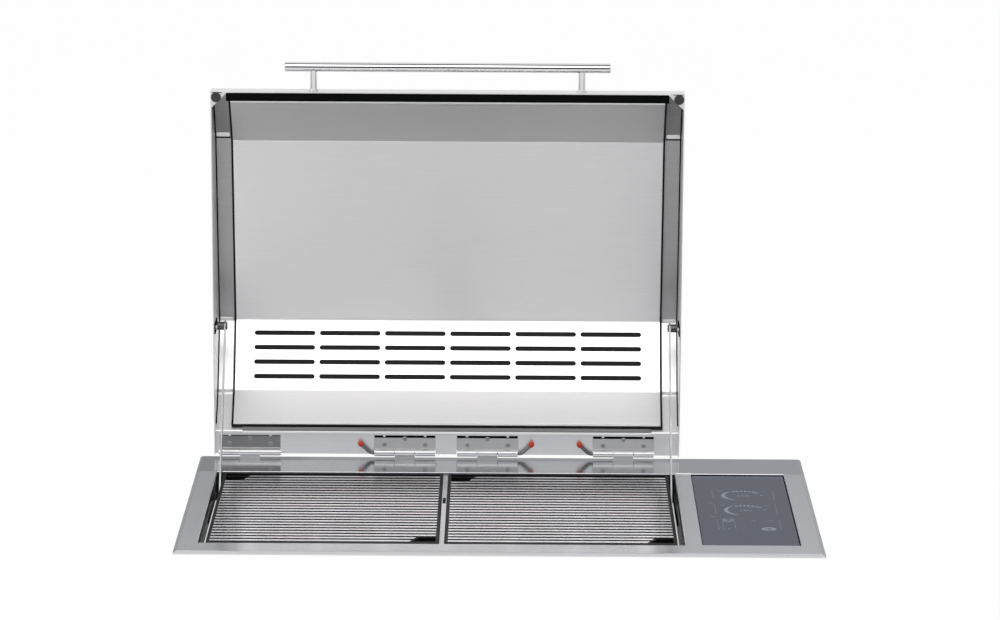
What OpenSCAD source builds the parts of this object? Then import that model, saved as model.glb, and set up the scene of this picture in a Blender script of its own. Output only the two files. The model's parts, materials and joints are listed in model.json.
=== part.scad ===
// Drop-in electric grill: a top plate with a tub, two lift-out grates, a touch panel and a hinged lid.
// Millimetres. The origin is the centre of the top plate at the counter surface; X right, Y rear, Z up.
// The lid is drawn open, as it rests. Lid shapes are drawn with u from the hinge axis towards the
// front rim and w up from the rim plane, as if the lid were closed.

/* [Top plate] */
// Depth of the top plate
plate_d = 524; // [515:1:600]
// Thickness of the plate's sheet
plate_t = 1.5; // [1:0.1:2]
// Thickness of the gasket between plate and counter
gasket_t = 3; // [2.5:0.5:5]
// Width of the gasket strip
gasket_w = 10; // [6:1:14]
// Width of the sloped band around the plate
bevel_w = 4; // [2:0.5:5]
// Drop of the sloped band
bevel_h = 2.5; // [1:0.5:2.5]

/* [Cooking opening] */
// Width of the opening
opening_w = 601; // [570:1:610]
// Depth of the opening
opening_d = 386.5; // [375:0.5:392]
// Plate to the left of the opening
left_border = 28; // [24:1:36]
// Plate to the right of the glass window
right_border = 28; // [24:1:36]
// Plate in front of the opening
front_border = 45; // [38:1:50]
// Depth of the tub below the plate
tub_depth = 120; // [110:1:160]
// Thickness of the tub's sheet
tub_t = 1.2; // [0.8:0.1:2]

/* [Control panel] */
// Plate between the opening and the glass window
panel_web = 21.4; // [18:0.2:24]
// Width of the glass window
window_w = 121.6; // [110:0.2:122]
// Depth of the glass window
window_d = 385; // [360:1:390]
// Plate in front of the glass window
window_front = 47; // [40:1:50]
// Thickness of the glass
glass_t = 4; // [3:0.5:6]
// Drop of the glass below the plate's top
glass_sink = 2.2; // [0.5:0.1:3]
// Depth of the control housing below the plate
housing_depth = 60; // [54:1:90]
// Thickness of the housing's sheet
housing_t = 1.2; // [0.8:0.1:1.6]
// Width of the ledge that carries the glass
ledge_w = 6; // [4:0.5:10]
// Bore of the cable gland
gland_bore = 10; // [6:0.5:14]

/* [Grates] */
// Gap beside each grate, where the lid stays run
grate_side_gap = 9; // [9:0.5:16]
// Gap between the two grates
grate_mid_gap = 7; // [5:0.5:12]
// Gap in front of the grates
grate_front_gap = 4; // [3:0.5:8]
// Gap behind the grates
grate_rear_gap = 5.5; // [3:0.5:8]
// Height of a grate
grate_h = 20; // [18:1:26]
// Drop of the grates below the plate's top
grate_drop = 1.5; // [1:0.5:8]
// Width of a grate's side bars
grate_bar = 4; // [4:0.5:9]
// Width of a grate's rear land
grate_land = 11; // [9:0.5:16]
// Ribs on each grate
rib_count = 25; // [18:1:25]
// Width of a rib
rib_w = 8; // [6:0.5:9]
// Diameter of the heating tube
element_d = 6.5; // [5:0.5:8]
// Distance between runs of the heating tube
element_pitch = 70; // [56:1:74]
// Depth of the heating tube below the plate's top
element_drop = 34; // [33:1:44]

/* [Lid] */
// Angle at which the open lid rests
lid_open = 86; // [80:1:88]
// Reach of the lid past each side of the opening
lid_side_overlap = 8.7; // [7:0.1:10]
// Reach of the lid past the front of the opening
lid_front_overlap = 21.6; // [18:0.2:26]
// Thickness of the lid's sheet
lid_t = 1.2; // [0.8:0.1:1.5]
// Height of the lid's upright front lip
lip_h = 22; // [20:1:26]
// Gap between the closed lid's rim and the plate
rim_gap = 2; // [1.5:0.1:3]
// Distance from the front rim to the liner's front edge
liner_front_run = 13.6; // [12.6:0.2:18]
// Height of the liner's front edge
liner_front_h = 10; // [8:0.5:12]
// Distance from the front rim to the roof's front fold
roof_front_run = 79.1; // [70:0.1:90]
// Height of the roof's front fold
roof_front_h = 62; // [56:0.5:70]
// Distance from the hinge to the roof's rear fold
vent_top_run = 158; // [150:1:170]
// Height of the roof's rear fold
vent_top_h = 98; // [92:1:110]
// Distance from the hinge to the lower fold of the vent panel
vent_foot_run = 74; // [70:1:80]
// Height of the lower fold of the vent panel
vent_foot_h = 48; // [44:1:54]
// Distance from the hinge to the liner's rear edge
liner_rear_run = 39; // [37:0.5:42]
// Height of the liner's rear edge
liner_rear_h = 6; // [5:0.5:8]
// Gap between each end of the liner and the side of the lid
liner_side_gap = 24; // [20:0.5:30]
// Thickness of the liner's sheet
liner_t = 1; // [0.6:0.1:1.5]
// Thickness of the insulation mat
mat_t = 8; // [5:0.5:10]
// Radius of the liner's folds
fold_r = 6; // [3:0.5:9]
// Vent slots side by side
slot_columns = 6; // [3:1:6]
// Rows of vent slots
slot_rows = 4; // [2:1:4]
// Length of a vent slot
slot_l = 81.5; // [60:0.5:83]
// Height of a vent slot
slot_h = 6.6; // [4:0.2:8]

/* [Handle] */
// Diameter of the handle bar
handle_d = 12.7; // [10:0.1:16]
// Length of the handle bar
handle_l = 425; // [380:1:500]
// Distance from the front rim to the bar's middle
handle_reach = 31.4; // [26:0.2:45]
// Diameter of the handle's posts
post_d = 9.5; // [8.5:0.1:11]
// Distance between the posts
post_pitch = 350; // [300:1:370]

/* [Hinges] */
// Distance from the plate's rear edge to the hinge axis
hinge_inset = 9; // [7:0.5:12]
// Height of the hinge axis above the plate
hinge_rise = 7; // [6.6:0.2:9]
// Width of a hinge
hinge_w = 80.6; // [70:0.2:84]
// Diameter of a hinge barrel
barrel_d = 9; // [8.4:0.2:9.6]
// Diameter of a hinge pin
pin_d = 4.8; // [4:0.1:5]
// Thickness of a hinge leaf
leaf_t = 2; // [1.5:0.1:2.5]
// Slope of a pin's bent end
pin_bend = 45; // [30:1:60]

/* [Lid stays] */
// Distance from the hinge axis to the stay's pivot on the lid
stay_run = 165; // [158:1:170]
// Height of the stay's pivot above the rim plane
stay_rise = 38; // [34:1:42]
// Distance from the opening's rear edge to the roller with the lid open
stay_foot_run = 53.5; // [50:0.5:58]
// Depth of the roller below the plate's top, with the lid open and closed
stay_foot_drop = 60; // [54:1:64]
// Width of the stay's flat bar
stay_w = 14; // [10:1:15]
// Thickness of the stay's flat bar
stay_t = 2; // [1.5:0.1:2.5]
// Diameter of the stay's roller
roller_d = 7.4; // [6:0.2:9]

/* [Clearances] */
// Radial clearance of a pin in its hole
run_clear = 0.05; // [0.02:0.01:0.1]
// Clearance between parts that move past each other
move_clear = 0.3; // [0.25:0.05:0.5]
// Clearance of a screw in its hole
screw_clear = 0.1; // [0.05:0.05:0.3]
// Clearance between layers that lie on each other
layer_clear = 0.05; // [0.02:0.01:0.1]

/* [Hidden] */
$fn = 48;
cut = 1;

// Plate, opening and window
plate_w = left_border + opening_w + panel_web + window_w + right_border;
plate_top = gasket_t + plate_t;
edge_gap = 0.5;
edge_w = bevel_w + 2;
gasket_inset = edge_w + 1;
opening_x0 = left_border - plate_w / 2;
opening_x1 = opening_x0 + opening_w;
opening_y0 = front_border - plate_d / 2;
opening_y1 = opening_y0 + opening_d;
window_x0 = opening_x1 + panel_web;
window_x1 = window_x0 + window_w;
window_y0 = window_front - plate_d / 2;
window_y1 = window_y0 + window_d;
floor_z = gasket_t - tub_depth;

// Grates, rails and elements
grate_w = (opening_w - 2 * grate_side_gap - grate_mid_gap) / 2;
grate_x = [opening_x0 + grate_side_gap, opening_x1 - grate_side_gap - grate_w];
grate_y0 = opening_y0 + grate_front_gap;
grate_y1 = opening_y1 - grate_rear_gap;
grate_top = plate_top - grate_drop;
grate_foot = grate_top - grate_h;
grate_front_bar = 13.5;
divider_drop = 1;
divider_floor = 4;
finger_slot_l = 27;
finger_slot_w = 4;
finger_slot_at = 0.582;
rib_room = grate_y1 - grate_y0 - grate_front_bar - grate_land;
rib_pitch = (rib_room - rib_w) / (rib_count - 1);
rib_h = 12;
rib_edge = 1;
land_drop = 2;
bite = 1;
grip_l = 31;
grip_slope = 10;
grip_t = 2;
grip_ribs = 2;
grip_d = (grip_ribs - 1) * rib_pitch + rib_w + 1;
rail_t = 2;
rail_leg_t = 1.5;
rail_bearing = 10;
rail_w = grate_front_gap + rail_bearing;
rail_h = 14;
element_z = plate_top - element_drop;
element_inset = 30;
element_front_y = opening_y0 + element_inset;
element_rear_y = opening_y1 - element_inset;
element_tail = 18;
element_x = [for (x = grate_x) x + grate_w / 2];
element_runs = [-1.5, -0.5, 0.5, 1.5] * element_pitch;
element_bar_t = 3;
element_bar_h = 14;
bushing_r = element_d / 2 + 2;
bushing_flange_r = bushing_r + 3;
bushing_flange_t = 3;
probe_r = 3;
probe_l = 80;
probe_below = 8;
probe_z = element_z - element_d - probe_below;
probe_nut_r = 6;
probe_nut_t = 6;
tray_h = 25;
tray_t = 1;
tray_gap = 3;

// Control housing
housing_margin = 3;
housing_x0 = window_x0 - housing_margin;
housing_y0 = window_y0 - housing_margin;
housing_w = window_w + 2 * housing_margin;
housing_d = window_d + 2 * housing_margin;
housing_foot = gasket_t - housing_depth;
glass_gap = 0.4;
glass_top = plate_top - glass_sink;
glass_foot = glass_top - glass_t;
glass_gasket_t = 1;
ledge_top = glass_foot - glass_gasket_t;
ledge_t = 1.5;
cover_t = 1.5;
block_w = 10;
block_h = 12;
housing_screw_r = 1.5;
housing_screw_head_r = 3;
housing_screw_head_t = 2;
board_t = 1.6;
touch_inset = ledge_w + 4;
power_inset = 14;
power_l = 170;
power_y0 = (window_y0 + window_y1) / 2;
board_post_r = 3;
board_post_h = 11;
board_post_inset = 6;
board_z = housing_foot + board_post_h;
relay_size = [30, 16, 20];
relay_count = 3;
relay_pitch = 36;
relay_setback = 12;
block_size = [60, 16, 14];
block_setback = 30;
terminal_pitch = 11;
terminal_r = 3;
terminal_floor = 6;
gland_x = (window_x0 + window_x1) / 2;
gland_run = 60;
gland_y = window_y0 + gland_run;
gland_thread_r = gland_bore / 2 + 4;
gland_head_r = gland_thread_r + 4;
gland_head_l = 14;
gland_thread_l = 8;
gland_nut_t = 5;

// Counter clamps
clamp_offset = 23.25;
clamp_x = [element_x[0] - clamp_offset, element_x[1] + clamp_offset];
clamp_w = 24;
clamp_reach = 30;
clamp_leg = 30;
clamp_t = 2.5;
clamp_drop = 68;
clamp_z = gasket_t - clamp_drop;
clamp_screw_r = 3;
clamp_screw_l = 40;
clamp_screw_y = 20;
clamp_pad_r = 8;
clamp_pad_t = 3;

// Lid frame
lid_x = (opening_x0 + opening_x1) / 2;
lid_w = opening_w + 2 * lid_side_overlap;
hinge_y = plate_d / 2 - hinge_inset;
hinge_z = plate_top + hinge_rise;
axis_w = hinge_rise - rim_gap;
rim_u = hinge_y - opening_y0 + lid_front_overlap;
liner_w = lid_w - 2 * lid_t - 2 * liner_side_gap;
mat_edge = 2.8;
mat_w = liner_w + 2 * mat_edge;
shell_gap = liner_t + mat_t + 2 * layer_clear;
bend_steps = 6;
lip_fold_r = 4;
flange_fold_r = 3;
flange_rear_u = -2.5;
flange_under = axis_w + barrel_d / 2 - leaf_t + 0.1;
seal_w = liner_front_run - lid_t - 1;
seal_t = 6;
seal_rise = 1.5;
seal_inset = 20;
gusset_leg = 20;
gusset_t = 1.2;
bumper_d = 13;
bumper_inset = 7.2;
bumper_h = rim_gap - move_clear;
handle_rise = lip_h / 2 + 1;
post_collar_d = post_d + 3.5;
post_collar_t = 1.5;
bar_chamfer = 0.8;
handle_screw_r = 2.5;
handle_screw_head_r = 4;
handle_screw_head_t = 3;
handle_screw_depth = 12;
slot_gap = 5.9;
slot_first = 18.7;
slot_row_pitch = 20.1;

// Hinges and their pins
hinge_x = [-262, -56, 54, 235];
knuckle_w = (hinge_w - 4 * move_clear) / 3;
window_side = 0.8;
leaf_wing = 3;
leaf_u = 25;
leaf_window_u = 23.5;
wing_foot_u = 3;
leaf_notch_u = barrel_d / 2 + move_clear + 0.4;
foot_front = 3;
foot_rear = 4.5;
bore_r = pin_d / 2 + run_clear;
hinge_screw_r = 2;
hinge_screw_head_r = 3.2;
hinge_screw_head_t = 0.9;
hinge_nut_r = 3.6;
hinge_nut_t = 2.4;
hinge_screw_at = [[0, 18.5], [-27, 10.5], [27, 10.5]];
pin_head_r = 3.5;
pin_head_t = 1.5;
pin_stub = 2.1;
pin_bend_r = 8;
pin_tail = 17;
pin_tilt = 8;
cap_r = 3.4;
cap_l = 9;
cap_wall = 2.2;

// Lid stays and their guides
guide_t = 2;
wall_x = -opening_w / 2;
arm_x = wall_x + guide_t + 2;
stud_r = 3;
stud_collar_r = 5.5;
stud_head_r = 5;
stud_head_t = 1.7;
rivet_r = 2;
rivet_head_r = 4;
rivet_head_t = 1.2;
slot_half = roller_d / 2 + 0.5;
slot_steps = 24;
guide_margin = 10;
guide_cover_w = 8.5;
guide_cover_t = 1.5;
guide_cover_drop = 5;
guide_cover_z = grate_top - guide_cover_drop;
guide_cover_gap = 2;
guide_screw_r = 2;
guide_screw_head_r = 4;
guide_screw_head_t = 1.2;
guide_nut_t = 3;

// Points and paths in a plane
function unit(v) = v / norm(v);
function left_of(v) = [-v[1], v[0]];
function reversed(list) = [for (i = [len(list) - 1:-1:0]) list[i]];

// A corner of a path moved to the left by d, so that both its sides move by d
function moved_corner(a, b, c, d) =
    let (n = left_of(unit(b - a)), m = left_of(unit(c - b)), mid = unit(n + m))
    b + mid * d / (mid * n);

// A whole path moved to the left by d
function moved(path, d) =
    let (last = len(path) - 1)
    [for (i = [0:last])
        i == 0 ? path[0] + left_of(unit(path[1] - path[0])) * d
        : i == last ? path[i] + left_of(unit(path[i] - path[i - 1])) * d
        : moved_corner(path[i - 1], path[i], path[i + 1], d)];

// Points of the arc that rounds corner b with radius r
function bend(a, b, c, r) =
    let (p = unit(a - b), q = unit(c - b), half = acos(p * q) / 2,
        centre = b + unit(p + q) * r / sin(half),
        from = b + p * r / tan(half) - centre,
        to = b + q * r / tan(half) - centre,
        start = atan2(from[1], from[0]),
        turn = atan2(cross(from, to), from * to))
    [for (i = [0:bend_steps]) centre + r * [cos(start + turn * i / bend_steps),
        sin(start + turn * i / bend_steps)]];

// A path with its inner corners rounded, one radius for each corner
function rounded(path, radii) =
    [for (i = [0:len(path) - 1])
        each (i == 0 || i == len(path) - 1 ? [path[i]]
            : bend(path[i - 1], path[i], path[i + 1], radii[i - 1]))];

// The outline of a sheet between two distances outside a path
function sheet(path, near, far) = concat(moved(path, -near), reversed(moved(path, -far)));

// The liner's visible side, from its front edge over the roof and the vent panel to its rear edge
liner_line = [
    [rim_u - liner_front_run, liner_front_h],
    [rim_u - roof_front_run, roof_front_h],
    [vent_top_run, vent_top_h],
    [vent_foot_run, vent_foot_h],
    [liner_rear_run, liner_rear_h]
];
liner_path = rounded(liner_line, [fold_r, fold_r, fold_r]);

// The shell's inner side: the lip, the folds outside the liner, then the flange that carries the hinges
shell_fold = moved(liner_line, -shell_gap);
rear_slope = (shell_fold[3][0] - shell_fold[4][0]) / (shell_fold[3][1] - shell_fold[4][1]);
flange_front_u = shell_fold[4][0] + (flange_under - shell_fold[4][1]) * rear_slope;
shell_line = [
    [rim_u - lid_t, 0],
    [rim_u - lid_t, lip_h],
    shell_fold[1],
    shell_fold[2],
    shell_fold[3],
    [flange_front_u, flange_under],
    [flange_rear_u, flange_under]
];
outer_fold_r = fold_r + shell_gap;
shell_path = rounded(shell_line, [lip_fold_r, outer_fold_r, outer_fold_r, outer_fold_r, flange_fold_r]);
side_outline = concat(moved(shell_path, -lid_t), [[flange_rear_u, 0]]);

// Places of a lid point (u, w) across the machine, with the lid turned by turn degrees from rest
function lid_point(u, w, turn) =
    let (a = lid_open - turn, v = w - axis_w)
    [hinge_y - u * cos(a) + v * sin(a), hinge_z + u * sin(a) + v * cos(a)];

// The stay's pivot and roller, and the arm's slope, with the lid open and closed
stay_top_open = lid_point(stay_run, stay_rise, 0);
stay_top_closed = lid_point(stay_run, stay_rise, lid_open);
stay_foot_open = [opening_y1 - stay_foot_run, plate_top - stay_foot_drop];
stay_l = norm(stay_top_open - stay_foot_open);
stay_fall = stay_top_closed[1] - stay_foot_open[1];
stay_foot_closed = [stay_top_closed[0] - sqrt(stay_l * stay_l - stay_fall * stay_fall), stay_foot_open[1]];
stay_slope_open = atan2(stay_foot_open[1] - stay_top_open[1], stay_foot_open[0] - stay_top_open[0]);
stay_slope_closed = atan2(stay_foot_closed[1] - stay_top_closed[1], stay_foot_closed[0] - stay_top_closed[0]);
stay_turn = stay_slope_closed - stay_slope_open - lid_open;
echo(stay_pivot = stay_top_open, stay_ratio = stay_turn / lid_open, stay_length = stay_l);

// The roller's place at share t of the way from open to closed
function stay_foot(t) =
    let (slope = stay_slope_open + t * (stay_slope_closed - stay_slope_open))
    lid_point(stay_run, stay_rise, t * lid_open) + stay_l * [cos(slope), sin(slope)];

// The arm's front edge at the underside of the guide's cover
function stay_front(t) =
    let (foot = stay_foot(t), run = lid_point(stay_run, stay_rise, t * lid_open) - foot)
    foot[0] + (run[0] * (guide_cover_z - guide_cover_t - foot[1]) - norm(run) * stay_w / 2) / run[1];

guide_line = [for (i = [0:slot_steps]) stay_foot(i / slot_steps)];
guide_cover_l = min([for (i = [0:slot_steps]) stay_front(i / slot_steps)]) - guide_cover_gap - opening_y0;
guide_high = max([for (p = guide_line) p[1]]) + slot_half + guide_margin;
guide_low = stay_foot_open[1] - slot_half - guide_margin;
guide_y0 = stay_foot_closed[0] - slot_half - guide_margin;
guide_y1 = stay_foot_open[0] + slot_half + guide_margin;
guide_screw_inset = 8;
guide_screw_at = [for (y = [guide_y0 + guide_screw_inset, guide_y1 - guide_screw_inset])
    [y, guide_low + guide_screw_inset]];

// Children drawn in the closed lid's frame, placed at its rest
module on_lid()
    translate([lid_x, hinge_y, hinge_z]) rotate([-lid_open, 0, 0]) translate([0, 0, -axis_w]) children();

// A (u, w) outline drawn out across the lid
module across_lid(width) rotate([90, 0, -90]) linear_extrude(width, center = true) children();

// An outline in the Y-Z plane drawn out along X
module along_x(length) rotate([90, 0, 90]) linear_extrude(length) children();

// A cylinder along X that starts at x
module rod_x(x, length, r) translate([x, 0, 0]) rotate([0, 90, 0]) cylinder(h = length, r = r);

// A piece drawn for the left half, used on the left or the right of the lid's middle
module on_left() translate([lid_x, 0, 0]) children();
module on_right() translate([lid_x, 0, 0]) mirror([1, 0, 0]) children();

// A flat frame with one window
module ring(x0, y0, w, d, z, h, wall)
    translate([x0, y0, z]) difference() {
        cube([w, d, h]);
        translate([wall, wall, -cut]) cube([w - 2 * wall, d - 2 * wall, h + 2 * cut]);
    }

// A bar with round ends, from the origin along X
module round_bar(length, width) {
    translate([0, -width / 2]) square([length, width]);
    circle(d = width);
    translate([length, 0]) circle(d = width);
}

// The wedge that slopes one edge of the plate
module edge_wedge(length) {
    slope = bevel_h / bevel_w;
    linear_extrude(length, center = true)
        polygon([[-cut, -bevel_h - cut * slope], [bevel_w + cut / slope, cut], [-cut, cut]]);
}

module edge_wedges()
    for (side = [0, 1]) {
        mirror([0, side, 0]) translate([0, -plate_d / 2, plate_top]) rotate([90, 0, 90])
            edge_wedge(plate_w + 2 * cut);
        mirror([side, 0, 0]) translate([-plate_w / 2, 0, plate_top]) rotate([90, 0, 0])
            edge_wedge(plate_d + 2 * cut);
    }

module top_plate()
    color("silver") difference() {
        translate([-plate_w / 2, -plate_d / 2, edge_gap]) cube([plate_w, plate_d, plate_top - edge_gap]);
        translate([edge_w - plate_w / 2, edge_w - plate_d / 2, edge_gap - cut])
            cube([plate_w - 2 * edge_w, plate_d - 2 * edge_w, gasket_t - edge_gap + cut]);
        edge_wedges();
        translate([opening_x0, opening_y0, 0]) cube([opening_w, opening_d, plate_top + cut]);
        translate([window_x0, window_y0, 0]) cube([window_w, window_d, plate_top + cut]);
    }

module seat_gasket()
    color("dimgray") ring(gasket_inset - plate_w / 2, gasket_inset - plate_d / 2,
        plate_w - 2 * gasket_inset, plate_d - 2 * gasket_inset, 0, gasket_t, gasket_w);

// Places of the element's ends and of the probes along the tub's rear wall
module at_element_ends()
    for (x = element_x, run = [element_runs[0], element_runs[3]])
        translate([x + run, opening_y1, element_z]) rotate([-90, 0, 0]) children();

module at_probes()
    for (x = element_x) translate([x, opening_y1, probe_z]) rotate([-90, 0, 0]) children();

module at_guide_screws()
    for (p = guide_screw_at) translate([0, p[0], p[1]]) children();

// The tub: four walls round the opening, on a floor
module tub()
    color("gray") difference() {
        translate([opening_x0 - tub_t, opening_y0 - tub_t, floor_z])
            cube([opening_w + 2 * tub_t, opening_d + 2 * tub_t, tub_depth]);
        translate([opening_x0, opening_y0, floor_z - cut]) cube([opening_w, opening_d, tub_depth + 2 * cut]);
        at_element_ends() translate([0, 0, -cut]) cylinder(h = tub_t + 2 * cut, r = bushing_r + layer_clear);
        at_probes() translate([0, 0, -cut]) cylinder(h = tub_t + 2 * cut, r = probe_r + screw_clear);
        on_left() at_guide_screws() rod_x(wall_x - tub_t - cut, tub_t + 2 * cut, guide_screw_r + screw_clear);
        on_right() at_guide_screws() rod_x(wall_x - tub_t - cut, tub_t + 2 * cut, guide_screw_r + screw_clear);
    }

module tub_floor()
    color("gray") translate([opening_x0 - tub_t, opening_y0 - tub_t, floor_z - tub_t])
        cube([opening_w + 2 * tub_t, opening_d + 2 * tub_t, tub_t]);

module divider_bar() {
    width = grate_mid_gap - 4 * move_clear;
    front = opening_y0 + rail_leg_t;
    length = opening_d - 2 * rail_leg_t;
    color("silver") difference() {
        translate([lid_x - width / 2, front, grate_foot]) cube([width, length, grate_h - divider_drop]);
        translate([lid_x, front + length * finger_slot_at, grate_foot + divider_floor]) rotate([0, 0, 90])
            linear_extrude(grate_h) round_bar(finger_slot_l, finger_slot_w);
    }
}

// One angle rail under the grates, against the wall at y = 0
module grate_rail()
    along_x(opening_w - 2 * grate_side_gap)
        polygon([[0, 0], [rail_w, 0], [rail_w, rail_t], [rail_leg_t, rail_t], [rail_leg_t, rail_h], [0, rail_h]]);

module grate_rails()
    color("silver") translate([grate_x[0], 0, grate_foot - rail_t]) {
        translate([0, opening_y0, 0]) grate_rail();
        translate([0, opening_y1, 0]) mirror([0, 1, 0]) grate_rail();
    }

module drip_tray(side) {
    x0 = side == 0 ? grate_x[0] : grate_x[1];
    color("lightgray") translate([x0 + tray_gap, grate_y0 + tray_gap, floor_z]) difference() {
        cube([grate_w - 2 * tray_gap, grate_y1 - grate_y0 - 2 * tray_gap, tray_h]);
        translate([tray_t, tray_t, tray_t])
            cube([grate_w - 2 * tray_gap - 2 * tray_t, grate_y1 - grate_y0 - 2 * tray_gap - 2 * tray_t, tray_h]);
    }
}

module left_drip_tray() drip_tray(0);
module right_drip_tray() drip_tray(1);

// A half turn of heating tube that opens towards the rear
module tube_turn()
    rotate([0, 0, 180]) rotate_extrude(angle = 180)
        translate([element_pitch / 2, 0]) circle(d = element_d);

module heating_element(side) {
    front = element_front_y + element_pitch / 2;
    rear = element_rear_y - element_pitch / 2;
    tail = opening_y1 + tub_t + element_tail;
    color("dimgray") translate([element_x[side], 0, element_z]) {
        for (run = [0:3])
            translate([element_runs[run], front, 0]) rotate([-90, 0, 0])
                cylinder(h = (run == 0 || run == 3 ? tail : rear) - front, d = element_d);
        for (x = [-1, 1]) translate([x * element_pitch, front, 0]) tube_turn();
        translate([0, rear, 0]) rotate([0, 0, 180]) tube_turn();
    }
}

module left_element() heating_element(0);
module right_element() heating_element(1);

// Flat bars on edge under the element's front turns, from wall to wall
module element_bars()
    color("silver") for (x = element_x, s = [-1, 1])
        translate([x + s * element_pitch - element_bar_t / 2, opening_y0,
                element_z - element_d / 2 - layer_clear - element_bar_h])
            cube([element_bar_t, opening_d, element_bar_h]);

module element_bushings()
    color("ivory") at_element_ends() difference() {
        union() {
            cylinder(h = tub_t, r = bushing_r);
            translate([0, 0, tub_t]) cylinder(h = bushing_flange_t, r = bushing_flange_r);
        }
        translate([0, 0, -cut]) cylinder(h = tub_t + bushing_flange_t + 2 * cut, r = element_d / 2 + layer_clear);
    }

module temperature_probes()
    color("silver") at_probes() {
        translate([0, 0, -probe_l]) cylinder(h = probe_l + tub_t + 2, r = probe_r);
        translate([0, 0, tub_t]) cylinder(h = probe_nut_t, r = probe_nut_r, $fn = 6);
    }

// The slotted plate that guides a stay's roller, with a folded cover over its front part
module guide_plate()
    color("gainsboro") difference() {
        union() {
            translate([wall_x, guide_y0, guide_low]) cube([guide_t, guide_y1 - guide_y0, guide_high - guide_low]);
            translate([wall_x, opening_y0, guide_low])
                cube([guide_t, guide_cover_l, guide_cover_z - guide_low]);
            translate([wall_x, opening_y0, guide_cover_z - guide_cover_t])
                cube([guide_cover_w, guide_cover_l, guide_cover_t]);
        }
        translate([wall_x - cut, 0, 0]) along_x(guide_t + 2 * cut) {
            polygon(concat(moved(guide_line, slot_half), reversed(moved(guide_line, -slot_half))));
            translate(guide_line[0]) circle(r = slot_half);
            translate(guide_line[slot_steps]) circle(r = slot_half);
        }
        at_guide_screws() rod_x(wall_x - cut, guide_t + 2 * cut, guide_screw_r + screw_clear);
    }

module left_guide_plate() on_left() guide_plate();
module right_guide_plate() on_right() guide_plate();

module guide_screw() {
    rod_x(wall_x - tub_t, tub_t + guide_t, guide_screw_r);
    rod_x(wall_x + guide_t, guide_screw_head_t, guide_screw_head_r);
    translate([wall_x - tub_t - guide_nut_t, 0, 0]) rotate([0, 90, 0])
        cylinder(h = guide_nut_t, r = guide_screw_head_r, $fn = 6);
}

module guide_screws()
    color("silver") {
        on_left() at_guide_screws() guide_screw();
        on_right() at_guide_screws() guide_screw();
    }

// A clamp bracket outside the tub's front wall; its foot reaches under the counter
module clamp_bracket()
    difference() {
        along_x(clamp_w)
            polygon([[0, 0], [-clamp_reach, 0], [-clamp_reach, clamp_t], [-clamp_t, clamp_t],
                [-clamp_t, clamp_leg], [0, clamp_leg]]);
        translate([clamp_w / 2, -clamp_screw_y, -cut])
            cylinder(h = clamp_t + 2 * cut, r = clamp_screw_r + screw_clear);
    }

module clamp_screw()
    translate([clamp_w / 2, -clamp_screw_y, 0]) {
        translate([0, 0, -clamp_screw_l / 2]) cylinder(h = clamp_screw_l, r = clamp_screw_r);
        translate([0, 0, clamp_screw_l / 2]) cylinder(h = clamp_pad_t, r = clamp_pad_r);
        translate([0, 0, -clamp_pad_t]) cylinder(h = clamp_pad_t, r = clamp_pad_r * 0.7, $fn = 6);
    }

module at_clamps()
    for (x = clamp_x) {
        translate([x - clamp_w / 2, opening_y0 - tub_t, clamp_z]) children();
        translate([x - clamp_w / 2, opening_y1 + tub_t, clamp_z]) mirror([0, 1, 0]) children();
    }

module counter_clamps() color("silver") at_clamps() clamp_bracket();
module clamp_screws() color("gray") at_clamps() clamp_screw();

module control_glass()
    color("slategray") translate([window_x0 + glass_gap, window_y0 + glass_gap, glass_foot])
        cube([window_w - 2 * glass_gap, window_d - 2 * glass_gap, glass_t]);

module glass_gasket()
    color("black") ring(window_x0 + glass_gap, window_y0 + glass_gap, window_w - 2 * glass_gap,
        window_d - 2 * glass_gap, ledge_top, glass_gasket_t, ledge_w - glass_gap);

module touch_board()
    color("darkgreen") translate([window_x0 + touch_inset, window_y0 + touch_inset, glass_foot - board_t])
        cube([window_w - 2 * touch_inset, window_d - 2 * touch_inset, board_t]);

module at_housing_corners() {
    inset = housing_t + block_w / 2;
    for (x = [housing_x0 + inset, housing_x0 + housing_w - inset],
            y = [housing_y0 + inset, housing_y0 + housing_d - inset])
        translate([x, y, housing_foot]) children();
}

// A box open at the bottom, with a ledge for the glass and a block in each corner for the cover's screws
module control_housing()
    color("gainsboro") difference() {
        union() {
            ring(housing_x0, housing_y0, housing_w, housing_d, housing_foot, housing_depth, housing_t);
            ring(housing_x0 + housing_t, housing_y0 + housing_t, housing_w - 2 * housing_t,
                housing_d - 2 * housing_t, ledge_top - ledge_t, ledge_t,
                ledge_w + housing_margin - housing_t);
            at_housing_corners() translate([-block_w / 2, -block_w / 2, 0]) cube([block_w, block_w, block_h]);
        }
        at_housing_corners() translate([0, 0, -cut])
            cylinder(h = block_h, r = housing_screw_r + screw_clear);
    }

module housing_cover()
    color("gainsboro") difference() {
        translate([housing_x0, housing_y0, housing_foot - cover_t]) cube([housing_w, housing_d, cover_t]);
        at_housing_corners() translate([0, 0, -cover_t - cut])
            cylinder(h = cover_t + 2 * cut, r = housing_screw_r + screw_clear);
        translate([gland_x, gland_y, housing_foot - cover_t - cut])
            cylinder(h = cover_t + 2 * cut, r = gland_thread_r + screw_clear);
    }

module housing_screws()
    color("silver") at_housing_corners() translate([0, 0, -cover_t]) {
        cylinder(h = cover_t + block_h - 3, r = housing_screw_r);
        translate([0, 0, -housing_screw_head_t]) cylinder(h = housing_screw_head_t, r = housing_screw_head_r);
    }

module power_board()
    color("darkgreen") translate([window_x0 + power_inset, power_y0, board_z])
        cube([window_w - 2 * power_inset, power_l, board_t]);

module board_posts()
    color("ivory") for (
            x = [window_x0 + power_inset + board_post_inset, window_x1 - power_inset - board_post_inset],
            y = [power_y0 + board_post_inset, power_y0 + power_l - board_post_inset])
        translate([x, y, housing_foot]) cylinder(h = board_post_h, r = board_post_r);

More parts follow.
